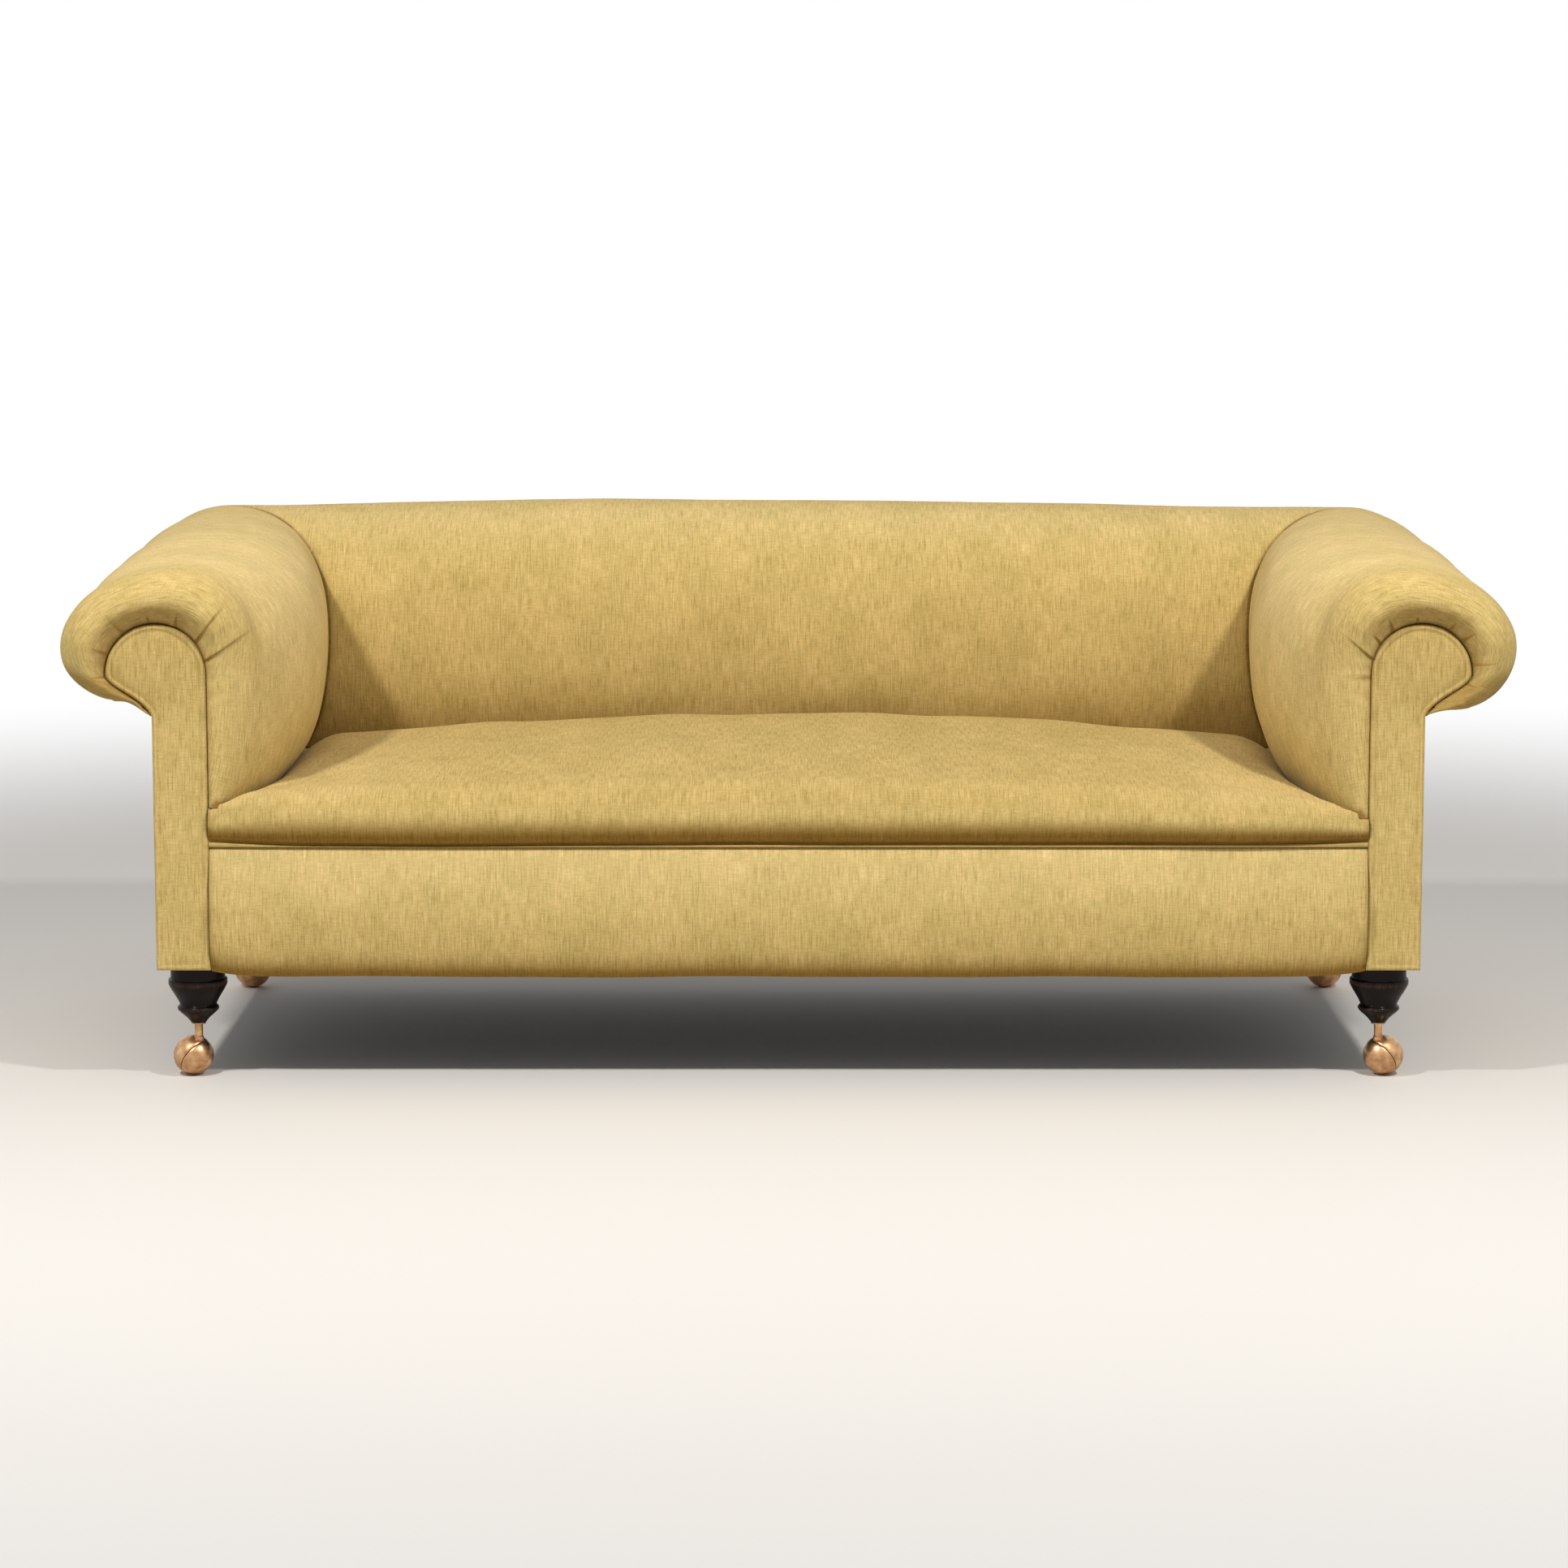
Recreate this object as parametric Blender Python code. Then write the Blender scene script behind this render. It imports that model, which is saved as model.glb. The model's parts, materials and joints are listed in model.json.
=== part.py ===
"""Rolled-arm chesterfield sofa on turned legs and ball castors.

Metres, +Z up. The front faces -Y, and the origin is on the floor under the middle of the sofa.
Left is -X. A depth is measured back from the front of the arm facings. An inset is measured in
from the outer face of the outside covers, so a negative inset stands out past them: the arms and
the back share one rolled section, written in insets and heights, and meet in 45 degree mitres.
"""

import math

import bmesh
import bpy
from mathutils import Matrix, Vector

# Outside of the sofa
OUTSIDE_HALF_WIDTH = 0.840
OUTSIDE_DEPTH = 0.7405
ROLL_OVERHANG = 0.124
ARM_TOP = 0.684
BACK_TOP = 0.724
FRONT_PUFF = 0.004
COVER_THICKNESS = 0.0035
CORNER_POWER = 2.0

# Rolled section of the arm and back pads
PAD_BOTTOM = 0.372
BOTTOM_INSET = 0.134
BOTTOM_SWEEP = math.radians(70)
BULGE_HEIGHT = 0.550
ARM_BULGE_INSET = 0.200
BACK_BULGE_INSET = 0.179
BULGE_RUN = 0.30
BOTTOM_RUN = 0.22
TOP_INSET = 0.029
ROLL_MID_HEIGHT = 0.581
UNDER_INSET = -0.046
UNDER_HEIGHT = 0.501
LIP_HEIGHT = 0.491
LIP_THICKNESS = 0.007
FRONT_LIP_DROP = 0.002
FRONT_LIP_OUT = 0.008
FRONT_LIP_STEP = 0.0005
ARM_LEVEL_RUN = 0.25
ROLL_POWER = 2.4
# How far the arm's section has grown from the facing's edge, at depths round the puffed front
ARM_FRONT = (
    (0.03, 0.003),
    (0.14, -0.6 * FRONT_PUFF),
    (0.38, -FRONT_PUFF),
    (0.66, 0.0025),
    (0.88, 0.017),
)
ARM_FULL_DEPTH = 0.045

# Scroll of the arm front: a round head on a straight stem
HEAD_INSET = 0.006
HEAD_HEIGHT = 0.550
FACING_RADIUS = 0.066
FACING_DROP = 0.057
FACING_THICKNESS = 0.0095
FACING_EDGE = 0.003
FACING_BOTTOM = 0.1535
FACING_HOLD = 0.0055
# Curl under a scroll's head: shares of its drop and its radius that shape the curve
CURL_START = 0.33
CURL_MIDDLE = 0.5
CURL_IN = 0.3

# Seat
SEAT_FRONT = -0.005
SEAT_CROWN = 0.4405
SEAT_EDGE = 0.3685
SEAT_LIP = 0.004
SEAT_NOSE = 0.350
SEAT_TUCK = 0.010
SEAT_TUCK_TURN = math.radians(75)
SEAT_UNDER = 0.014
SEAT_FRONT_ROUND = 0.045
SEAT_FRONT_SHARE = 0.30
SEAT_RISE_RUN = 0.42
SEAT_EDGE_SHARE = 0.3
SEAT_EDGE_RUN = 0.10
SEAT_BACK_FALL = 0.16
PIPING_RADIUS = 0.004
PIPING_DEPTH = 0.004
BORDER_FRONT = 0.004
BORDER_THICKNESS = 0.0105
BORDER_CROWN = 0.003
BORDER_BOTTOM = 0.143

# Timber frame
FRAME_BOTTOM = 0.157
RAIL_TOP = 0.325
RAIL_THICKNESS = 0.036
POST_DEPTH = 0.038
POST_BASE_DEPTH = 0.080
POST_WIDTH = 0.078
BACK_POST_DEPTH = 0.056
BACK_POST_TOP = 0.555
TACKING_BOTTOM = 0.350
TACKING_HEIGHT = 0.040
TACKING_WIDTH = 0.028
CROSS_RAIL_WIDTH = 0.040
CROSS_RAIL_HEIGHT = 0.050
BLOCK_LENGTH = 0.075
BLOCK_HEIGHT = 0.090

# Webbing, springs and covers under the seat
STRAP_WIDTH = 0.050
STRAP_THICKNESS = 0.0022
SPRING_COLUMNS = 6
SPRING_ROWS = 3
SPRING_SPACING = 0.22
SPRING_ROW_SPACING = 0.21
SPRING_RADIUS = 0.045
SPRING_WAIST = 0.032
SPRING_WIRE = 0.0018
SPRING_TURNS = 3
SPRING_POINTS = 8
HESSIAN_THICKNESS = 0.0015
DUST_THICKNESS = 0.0015
DUST_MARGIN = 0.012
BACK_STRAPS = 6
BACK_STRAP_SPACING = 0.22

# Legs and castors
LEG_SIDE_MARGIN = 0.0041
LEG_FRONT_MARGIN = 0.0111
LEG_BACK_MARGIN = 0.0006
LEG_BOTTOM = 0.0730
LEG_RADIUS = 0.0394
LEG_FOOT_WALL = 0.0012
# Turned outline of a leg: shares of its radius and of its height
LEG_TURNING = (
    (0.406, 0.085),
    (0.596, 0.165),
    (0.706, 0.235),
    (0.685, 0.275),
    (0.624, 0.305),
    (0.736, 0.415),
    (0.904, 0.545),
    (1.0, 0.655),
    (0.985, 0.745),
    (0.924, 0.86),
    (0.911, 1.0),
)
SPIGOT_RADIUS = 0.010
SPIGOT_LENGTH = 0.040
SOCKET_RADIUS = 0.0078
SOCKET_LENGTH = 0.046
SOCKET_FLANGE = 0.0015
SOCKET_FLANGE_LIP = 0.002
STEM_RADIUS = 0.0055
STEM_FOOT_RADIUS = 0.0042
STEM_INSERT = 0.040
BALL_RADIUS = 0.0275
TRAIL = 0.010
AXLE_TILT = math.radians(32)
SPLIT_OFFSET = 0.0045
SPLIT_GAP = 0.001
SHELL_THICKNESS = 0.0035
HUB_RADIUS = 0.007
HUB_GAP = 0.0005
AXLE_RADIUS = 0.0029
AXLE_REACH = 0.016
BOSS_RADIUS = 0.0065
BOSS_DEPTH = 0.0075

GAP = 0.0004
ROUND_SIDES = 16
HEADINGS = {"front_left": 145, "front_right": 35, "rear_left": 120, "rear_right": 60}

# Sizes that follow from those above
DEPTH_MIDDLE = (OUTSIDE_DEPTH + ROLL_OVERHANG + min(SEAT_FRONT, -FRONT_PUFF)) / 2
CORE_RADIUS = FACING_RADIUS - FACING_HOLD
CORE_INSET = HEAD_INSET + CORE_RADIUS
LIP_INSET = COVER_THICKNESS
CORNER_INSET = LIP_INSET
CORE_DROP = HEAD_HEIGHT - LIP_HEIGHT - LIP_THICKNESS
TIMBER_OUT = COVER_THICKNESS + GAP
TIMBER_IN = CORE_INSET - GAP
POST_FRONT = FACING_THICKNESS + GAP
POST_BACK = POST_FRONT + POST_DEPTH
POST_BASE_BACK = POST_FRONT + POST_BASE_DEPTH
POST_IN = TIMBER_OUT + POST_WIDTH
FRONT_RAIL_FRONT = BORDER_FRONT + BORDER_THICKNESS + GAP
BACK_FRAME_BACK = OUTSIDE_DEPTH - TIMBER_OUT
BACK_FRAME_FRONT = OUTSIDE_DEPTH - CORE_INSET + STRAP_THICKNESS + 2 * GAP
BACK_POST_FRONT = BACK_FRAME_BACK - BACK_POST_DEPTH
FACING_INSET = HEAD_INSET + FACING_RADIUS
SEAT_BASE = RAIL_TOP + HESSIAN_THICKNESS + 2 * GAP
SEAT_BACK = OUTSIDE_DEPTH - BOTTOM_INSET + SEAT_UNDER
PIPING_HEIGHT = SEAT_BASE - GAP - PIPING_RADIUS
BORDER_TOP = PIPING_HEIGHT - PIPING_RADIUS - GAP
BORDER_HALF = OUTSIDE_HALF_WIDTH - FACING_INSET - GAP
WEBBING_TOP = FRAME_BOTTOM - GAP
DUST_TOP = WEBBING_TOP - STRAP_THICKNESS - GAP
LEG_TOP = FRAME_BOTTOM - GAP
LEG_INSET = COVER_THICKNESS + LEG_RADIUS + LEG_SIDE_MARGIN
FRONT_LEG_DEPTH = FACING_THICKNESS + LEG_RADIUS + LEG_FRONT_MARGIN
REAR_LEG_DEPTH = OUTSIDE_DEPTH - COVER_THICKNESS - LEG_RADIUS - LEG_BACK_MARGIN
SPRING_MIDDLE_DEPTH = (FRONT_RAIL_FRONT + BACK_FRAME_BACK) / 2

CORNERS = {
    "front_left": (-1, FRONT_LEG_DEPTH),
    "front_right": (1, FRONT_LEG_DEPTH),
    "rear_left": (-1, REAR_LEG_DEPTH),
    "rear_right": (1, REAR_LEG_DEPTH),
}
SIDES = {"left": -1, "right": 1}

# Steps round the rolled section: inner curve, over the bulge, over the top, under the roll, lip
SECTION_STEPS = (4, 6, 5, 4, 1)
# Steps of the seat's rows: under the nose, over it, along the top, and from its middle to a side
SEAT_TUCK_STEPS = 3
SEAT_ROUND_STEPS = 5
SEAT_TOP_STEPS = 9
SEAT_SIDE_STEPS = 10
# How far round the curl under a scroll the hollow's last step and the facing's seam reach
CORE_CURL_SHARE = 0.85
FACING_CURL_SHARE = 0.8
# Share of a pad's steps that lie before its round back corner, and the shares at its rows
LINE_KNEE = 0.8
ARM_ROW_SHARES = (0.0, 0.09, 0.18, 0.29, 0.41, 0.53, 0.66, LINE_KNEE, 0.86, 0.93, 1.0)
BACK_ROW_SHARES = (1.0, 0.93, 0.86, LINE_KNEE, 0.55, 0.28)


# Helpers


def material(name, colour, roughness, metallic=0.0):
    made = bpy.data.materials.new(name)
    made.use_nodes = True
    shader = made.node_tree.nodes["Principled BSDF"]
    shader.inputs["Base Color"].default_value = (*colour, 1.0)
    shader.inputs["Roughness"].default_value = roughness
    shader.inputs["Metallic"].default_value = metallic
    return made


def add_object(name, data, finish, parent=None, matrix=None):
    """A named scene object for one piece."""
    piece = bpy.data.objects.new(name, data)
    if not data.materials:
        data.materials.append(finish)
    bpy.context.scene.collection.objects.link(piece)
    if parent is not None:
        piece.parent = parent
    if matrix is not None:
        piece.matrix_local = matrix
    return piece


def finished_mesh(name, shell, smooth=False):
    """Close a bmesh into a mesh whose faces point out."""
    bmesh.ops.recalc_face_normals(shell, faces=shell.faces)
    mesh = bpy.data.meshes.new(name)
    shell.to_mesh(mesh)
    shell.free()
    if smooth:
        mesh.shade_smooth()
        mesh.set_sharp_from_angle(angle=math.radians(40))
    return mesh


def y_at(depth):
    return depth - DEPTH_MIDDLE


def x_at(side, inset):
    return side * (OUTSIDE_HALF_WIDTH - inset)


def quarter(share):
    """Height of a quarter circle that starts upright and ends level, over a run of 1."""
    left = 1 - min(1.0, max(0.0, share))
    return math.sqrt(1 - left * left)


def swell(share):
    """A rise that starts at a slope and ends level, over a run of 1."""
    return math.sin(math.pi / 2 * min(1.0, max(0.0, share)))


def ease(share):
    share = min(1.0, max(0.0, share))
    return share * share * (3 - 2 * share)


def mix(a, b, share):
    return a + (b - a) * share


def box_mesh(name, low, high):
    shell = bmesh.new()
    size = [b - a for a, b in zip(low, high)]
    middle = [(a + b) / 2 for a, b in zip(low, high)]
    matrix = Matrix.Translation(middle) @ Matrix.Diagonal((*size, 1.0))
    bmesh.ops.create_cube(shell, size=1.0, matrix=matrix)
    return finished_mesh(name, shell)


def side_box(side, insets, depths, heights):
    """Low and high corners of a box on one side of the sofa."""
    across = sorted(x_at(side, inset) for inset in insets)
    low = (across[0], y_at(depths[0]), heights[0])
    high = (across[1], y_at(depths[1]), heights[1])
    return low, high


def prism_mesh(name, outline, travel, smooth=False):
    """A flat outline of points, swept along a vector."""
    shell = bmesh.new()
    face = shell.faces.new([shell.verts.new(point) for point in outline])
    moved = bmesh.ops.extrude_face_region(shell, geom=[face])
    verts = [item for item in moved["geom"] if isinstance(item, bmesh.types.BMVert)]
    bmesh.ops.translate(shell, verts=verts, vec=travel)
    return finished_mesh(name, shell, smooth)


def grid_faces(shell, rows):
    for first, second in zip(rows, rows[1:]):
        for corners in zip(first, first[1:], second[1:], second):
            shell.faces.new(corners)


def thick_sheet_mesh(name, outer, inner):
    """A closed pad between two grids of points with the same number of rows and columns."""
    shell = bmesh.new()
    outside = [[shell.verts.new(point) for point in row] for row in outer]
    inside = [[shell.verts.new(point) for point in row] for row in inner]
    grid_faces(shell, outside)
    grid_faces(shell, inside)
    for end in (0, -1):
        grid_faces(shell, [outside[end], inside[end]])
        grid_faces(shell, [[row[end] for row in outside], [row[end] for row in inside]])
    return finished_mesh(name, shell, smooth=True)


def pin_profile(radius, low, high):
    """Profile of a plain round pin for turned_mesh."""
    return [(0, low), (radius, low), (radius, high), (0, high)]


def turned_mesh(name, profile, turn=0.0):
    """A profile of (radius, height) turned about Z, from one point on the axis to another."""
    shell = bmesh.new()
    rings = []
    for radius, height in profile:
        if radius == 0:
            rings.append([shell.verts.new((0, 0, height))] * ROUND_SIDES)
            continue
        ring = []
        for index in range(ROUND_SIDES):
            angle = 2 * math.pi * (index + turn) / ROUND_SIDES
            spot = (radius * math.cos(angle), radius * math.sin(angle), height)
            ring.append(shell.verts.new(spot))
        rings.append(ring)
    for first, second in zip(rings, rings[1:]):
        for index in range(ROUND_SIDES):
            after = (index + 1) % ROUND_SIDES
            corners = [first[index], first[after], second[after], second[index]]
            shell.faces.new(dict.fromkeys(corners))
    return finished_mesh(name, shell, smooth=True)


def combined_mesh(name, base, steps):
    """A mesh with each (operation, tool mesh) of steps applied to it by a Boolean."""
    holder = bpy.data.objects.new(name, base)
    bpy.context.scene.collection.objects.link(holder)
    tools = []
    for operation, tool_mesh in steps:
        tool = bpy.data.objects.new(name + "_tool", tool_mesh)
        bpy.context.scene.collection.objects.link(tool)
        modifier = holder.modifiers.new("cut", "BOOLEAN")
        modifier.operation = operation
        modifier.solver = "EXACT"
        modifier.object = tool
        tools.append(tool)
    graph = bpy.context.evaluated_depsgraph_get()
    graph.update()
    result = bpy.data.meshes.new_from_object(holder.evaluated_get(graph))
    result.name = name
    for helper in [holder, *tools]:
        bpy.data.objects.remove(helper)
    return result


# Rolled section


def bezier(points, share):
    left = 1 - share
    weights = (left**3, 3 * left * left * share, 3 * left * share * share, share**3)
    return tuple(sum(w * p[axis] for w, p in zip(weights, points)) for axis in (0, 1))


def under_curve(radius, drop, stem_inset, share):
    """The curl under a scroll's head, from its outermost point in to the stem."""
    outermost = HEAD_INSET - radius
    points = (
        (outermost, HEAD_HEIGHT),
        (outermost, HEAD_HEIGHT - CURL_START * drop),
        (HEAD_INSET - CURL_IN * radius, HEAD_HEIGHT - CURL_MIDDLE * drop),
        (stem_inset, HEAD_HEIGHT - drop),
    )
    return bezier(points, share)


def head_arc(radius):
    """Over a scroll's head, from its inner side past its top to its outermost point."""
    _, over, top, _, _ = SECTION_STEPS
    angles = [90 * i / over for i in range(over)] + [90 + 90 * i / top for i in range(top + 1)]
    return [
        (
            HEAD_INSET + radius * math.cos(math.radians(angle)),
            HEAD_HEIGHT + radius * math.sin(math.radians(angle)),
        )
        for angle in angles
    ]


def curl_shares(reach):
    under = SECTION_STEPS[3]
    return [reach * step / under for step in range(1, under + 1)]


def scroll_outline(radius, drop, stem_in, stem_out, bottom, reach):
    """Closed outline of a facing or a front post, in insets and heights."""
    shares = [*curl_shares(reach), 1.0]
    curl = [under_curve(radius, drop, stem_out, share) for share in shares]
    return [(stem_in, bottom), *head_arc(radius), *curl, (stem_out, bottom)]


def bottom_inset(depth):
    return mix(FACING_INSET, BOTTOM_INSET, quarter(depth / BOTTOM_RUN))


def full_section(bottom, bulge, top, lip):
    """The rolled section: up the inside, over the roll and under it to the lip."""
    inner, over, crest, under, _ = SECTION_STEPS
    swing = math.cos(BOTTOM_SWEEP)
    centre = bottom - (bulge - bottom) * swing / (1 - swing)
    fall = (BULGE_HEIGHT - PAD_BOTTOM) / math.sin(BOTTOM_SWEEP)
    fullness = 2 / ROLL_POWER
    points = []
    for step in range(inner):
        angle = BOTTOM_SWEEP * (1 - step / inner)
        points.append(
            (centre + (bulge - centre) * math.cos(angle), BULGE_HEIGHT - fall * math.sin(angle))
        )
    for step in range(over):
        angle = math.pi / 2 * step / over
        points.append(
            (
                TOP_INSET + (bulge - TOP_INSET) * math.cos(angle) ** fullness,
                BULGE_HEIGHT + (top - BULGE_HEIGHT) * math.sin(angle) ** fullness,
            )
        )
    for step in range(crest):
        angle = math.pi / 2 * step / crest
        points.append(
            (
                TOP_INSET - (TOP_INSET + ROLL_OVERHANG) * math.sin(angle),
                ROLL_MID_HEIGHT + (top - ROLL_MID_HEIGHT) * math.cos(angle),
            )
        )
    for step in range(under + 1):
        angle = math.pi / 2 * step / under
        points.append(
            (
                UNDER_INSET - (UNDER_INSET + ROLL_OVERHANG) * math.cos(angle),
                ROLL_MID_HEIGHT - (ROLL_MID_HEIGHT - UNDER_HEIGHT) * math.sin(angle),
            )
        )
    return [*points, lip]


def wrapped_outline(radius, drop, stem_in, stem_out, reach, end):
    """A scroll's outline with one point for each point of the rolled section."""
    inner = SECTION_STEPS[0]
    rise = HEAD_HEIGHT - PAD_BOTTOM
    wall = [(stem_in, PAD_BOTTOM + rise * step / inner) for step in range(inner)]
    curl = [under_curve(radius, drop, stem_out, share) for share in curl_shares(reach)]
    return [*wall, *head_arc(radius), *curl, end]


def core_outline():
    """The hollow inside a pad, round the timber that carries it."""
    lip = (LIP_INSET, LIP_HEIGHT + LIP_THICKNESS)
    return wrapped_outline(CORE_RADIUS, CORE_DROP, CORE_INSET, LIP_INSET, CORE_CURL_SHARE, lip)


def facing_edge_outline():
    """Where an arm pad starts, just outside the edge of the facing."""
    radius = FACING_RADIUS + GAP
    drop = FACING_DROP + GAP
    curl_end = under_curve(radius, drop, 0.0, FACING_CURL_SHARE)
    end = (curl_end[0] - GAP, curl_end[1] - FRONT_LIP_DROP)
    return wrapped_outline(radius, drop, FACING_INSET + GAP, 0.0, FACING_CURL_SHARE, end)


def rounded_corner(x, depth):
    """Draw a point of the mitred back corners in, so that the rolls turn in a curve."""
    out = abs(x) - (OUTSIDE_HALF_WIDTH - CORNER_INSET)
    back = depth - (OUTSIDE_DEPTH - CORNER_INSET)
    if out <= 0 or back <= 0:
        return x, depth
    most = max(out, back)
    total = (out / most) ** CORNER_POWER + (back / most) ** CORNER_POWER
    shrink = total ** (-1 / CORNER_POWER)
    x = math.copysign(abs(x) - out * (1 - shrink), x)
    return x, depth - back * (1 - shrink)


def along_line(start, corner, end, share):
    """A place along a line of a pad: its straight run up to the round corner, then the corner."""
    knee = corner if end > corner else mix(start, end, LINE_KNEE)
    if share <= LINE_KNEE:
        return mix(start, knee, share / LINE_KNEE)
    return mix(knee, end, (share - LINE_KNEE) / (1 - LINE_KNEE))


def pad_point(x, depth, height):
    x, depth = rounded_corner(x, depth)
    return Vector((x, y_at(depth), height))


# Upholstery


def arm_section(depth, end_depth):
    """An arm's section at a depth; it meets the back's section at the mitre."""
    fill = mix(FACING_INSET, ARM_BULGE_INSET, quarter(depth / BULGE_RUN))
    late = ease((depth - ARM_LEVEL_RUN) / (end_depth - ARM_LEVEL_RUN))
    bulge = mix(fill, BACK_BULGE_INSET, late)
    top = mix(ARM_TOP, BACK_TOP, swell(depth / end_depth))
    return full_section(bottom_inset(depth), bulge, top, (LIP_INSET, LIP_HEIGHT))


def arm_rows(side):
    """Rows of points along an arm: its puffed front round the facing, then back to the mitre."""
    edge = facing_edge_outline()
    core = core_outline()
    mitre = full_section(BOTTOM_INSET, BACK_BULGE_INSET, BACK_TOP, (LIP_INSET, LIP_HEIGHT))
    ends = [OUTSIDE_DEPTH - inset - GAP for inset, _ in mitre]
    core_ends = [OUTSIDE_DEPTH - inset - GAP for inset, _ in core]
    bulge_end = OUTSIDE_DEPTH - BACK_BULGE_INSET
    front_lip = (edge[-1][0] - FRONT_LIP_OUT, edge[-1][1] - FRONT_LIP_DROP)
    front = ((0.0, POST_FRONT), *ARM_FRONT)
    outer, inner = [], []
    for index, (share, depth) in enumerate(front):
        section = arm_section(max(depth, 0.0), bulge_end)
        if depth < POST_FRONT:
            section[-1] = front_lip
        mixed = [
            (mix(a[0], b[0], share), mix(a[1], b[1], share)) for a, b in zip(edge, section)
        ]
        row = [pad_point(x_at(side, q), depth, z) for q, z in mixed]
        if depth < POST_FRONT:
            row[-1].y = y_at(POST_FRONT + FRONT_LIP_STEP * index)
        outer.append(row)
        core_depth = mix(POST_FRONT, ARM_FULL_DEPTH, index / len(front))
        inner.append([pad_point(x_at(side, q), core_depth, z) for q, z in core])
    corner = OUTSIDE_DEPTH - CORNER_INSET
    for share in ARM_ROW_SHARES:
        section = arm_section(along_line(ARM_FULL_DEPTH, corner, bulge_end, share), bulge_end)
        outer.append(
            [
                pad_point(x_at(side, q), along_line(ARM_FULL_DEPTH, corner, end, share), z)
                for (q, z), end in zip(section, ends)
            ]
        )
        inner.append(
            [
                pad_point(x_at(side, q), along_line(ARM_FULL_DEPTH, corner, end, share), z)
                for (q, z), end in zip(core, core_ends)
            ]
        )
    return outer, inner


def back_rows():
    """Rows of points across the back, from the left mitre to the right one."""
    section = full_section(BOTTOM_INSET, BACK_BULGE_INSET, BACK_TOP, (LIP_INSET, LIP_HEIGHT))
    left = [(-1, share) for share in BACK_ROW_SHARES]
    right = [(1, share) for share in reversed(BACK_ROW_SHARES)]
    corner = OUTSIDE_HALF_WIDTH - CORNER_INSET
    grids = []
    for outline in (section, core_outline()):
        rows = []
        for side, share in [*left, (1, 0.0), *right]:
            row = []
            for inset, height in outline:
                reach = along_line(0.0, corner, OUTSIDE_HALF_WIDTH - inset - GAP, share)
                row.append(pad_point(side * reach, OUTSIDE_DEPTH - inset, height))
            rows.append(row)
        grids.append(rows)
    return grids


def seat_half_width(depth):
    """Half the seat's width at a depth: up to the facings, then a little way under the arms."""
    return OUTSIDE_HALF_WIDTH - max(FACING_INSET + GAP, bottom_inset(depth) - SEAT_UNDER)


def seat_height(x, depth):
    """Top of the seat pad: a crown that falls to the arms, the back and the front."""
    half = OUTSIDE_HALF_WIDTH - bottom_inset(depth)
    gap = max(0.0, half - abs(x))
    dome = 1 - (1 - gap / half) ** 2
    side = mix(dome, swell(gap / SEAT_EDGE_RUN), SEAT_EDGE_SHARE)
    back = swell((OUTSIDE_DEPTH - BOTTOM_INSET - depth) / SEAT_BACK_FALL)
    rise = mix(SEAT_FRONT_SHARE, 1.0, swell((depth - SEAT_FRONT) / SEAT_RISE_RUN))
    return SEAT_EDGE + (SEAT_CROWN - SEAT_EDGE) * side * back * rise


def seat_rows():
    """Rows of points across the seat's top and base: under the nose, over it, then to the back."""
    profile = []
    for step in range(SEAT_TUCK_STEPS):
        angle = SEAT_TUCK_TURN * (1 - step / SEAT_TUCK_STEPS)
        fall = math.sin(angle) / math.sin(SEAT_TUCK_TURN)
        profile.append((SEAT_FRONT + SEAT_TUCK * (1 - math.cos(angle)), -fall))
    for step in range(SEAT_ROUND_STEPS):
        angle = math.pi / 2 * step / SEAT_ROUND_STEPS
        profile.append((SEAT_FRONT + SEAT_FRONT_ROUND * (1 - math.cos(angle)), math.sin(angle)))
    for step in range(SEAT_TOP_STEPS + 1):
        share = math.sin(math.pi / 2 * step / SEAT_TOP_STEPS)
        profile.append((mix(SEAT_FRONT + SEAT_FRONT_ROUND, SEAT_BACK, share), 1.0))

    steps = range(-SEAT_SIDE_STEPS, SEAT_SIDE_STEPS + 1)
    across = [math.sin(math.pi / 2 * step / SEAT_SIDE_STEPS) for step in steps]
    base_front = SEAT_FRONT + SEAT_TUCK
    top, base = [], []
    for index, (depth, lift) in enumerate(profile):
        half = seat_half_width(depth)
        row = []
        for u in across:
            if lift < 0:
                height = mix(SEAT_NOSE, SEAT_BASE + SEAT_LIP, -lift)
            else:
                height = mix(SEAT_NOSE, seat_height(half * u, depth), lift)
            row.append((half * u, y_at(depth), height))
        top.append(row)
        base_depth = mix(base_front, SEAT_BACK, index / (len(profile) - 1))
        base_half = seat_half_width(base_depth)
        base.append([(base_half * u, y_at(base_depth), SEAT_BASE) for u in across])
    return top, base


def make_pads(fabric):
    for label, side in SIDES.items():
        name = "arm_pad_" + label
        add_object(name, thick_sheet_mesh(name, *arm_rows(side)), fabric)
    add_object("back_pad", thick_sheet_mesh("back_pad", *back_rows()), fabric)
    add_object("seat_pad", thick_sheet_mesh("seat_pad", *seat_rows()), fabric)


def make_facings(fabric):
    outline = scroll_outline(
        FACING_RADIUS, FACING_DROP, FACING_INSET, 0.0, FACING_BOTTOM, FACING_CURL_SHARE
    )
    for label, side in SIDES.items():
        name = "facing_" + label
        points = [(x_at(side, q), y_at(FACING_THICKNESS), z) for q, z in outline]
        mesh = prism_mesh(name, points, (0, -FACING_THICKNESS, 0))
        piece = add_object(name, mesh, fabric)
        rounding = piece.modifiers.new("edge", "BEVEL")
        rounding.width = FACING_EDGE
        rounding.segments = 2
        rounding.limit_method = "ANGLE"
        rounding.angle_limit = math.radians(60)


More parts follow.
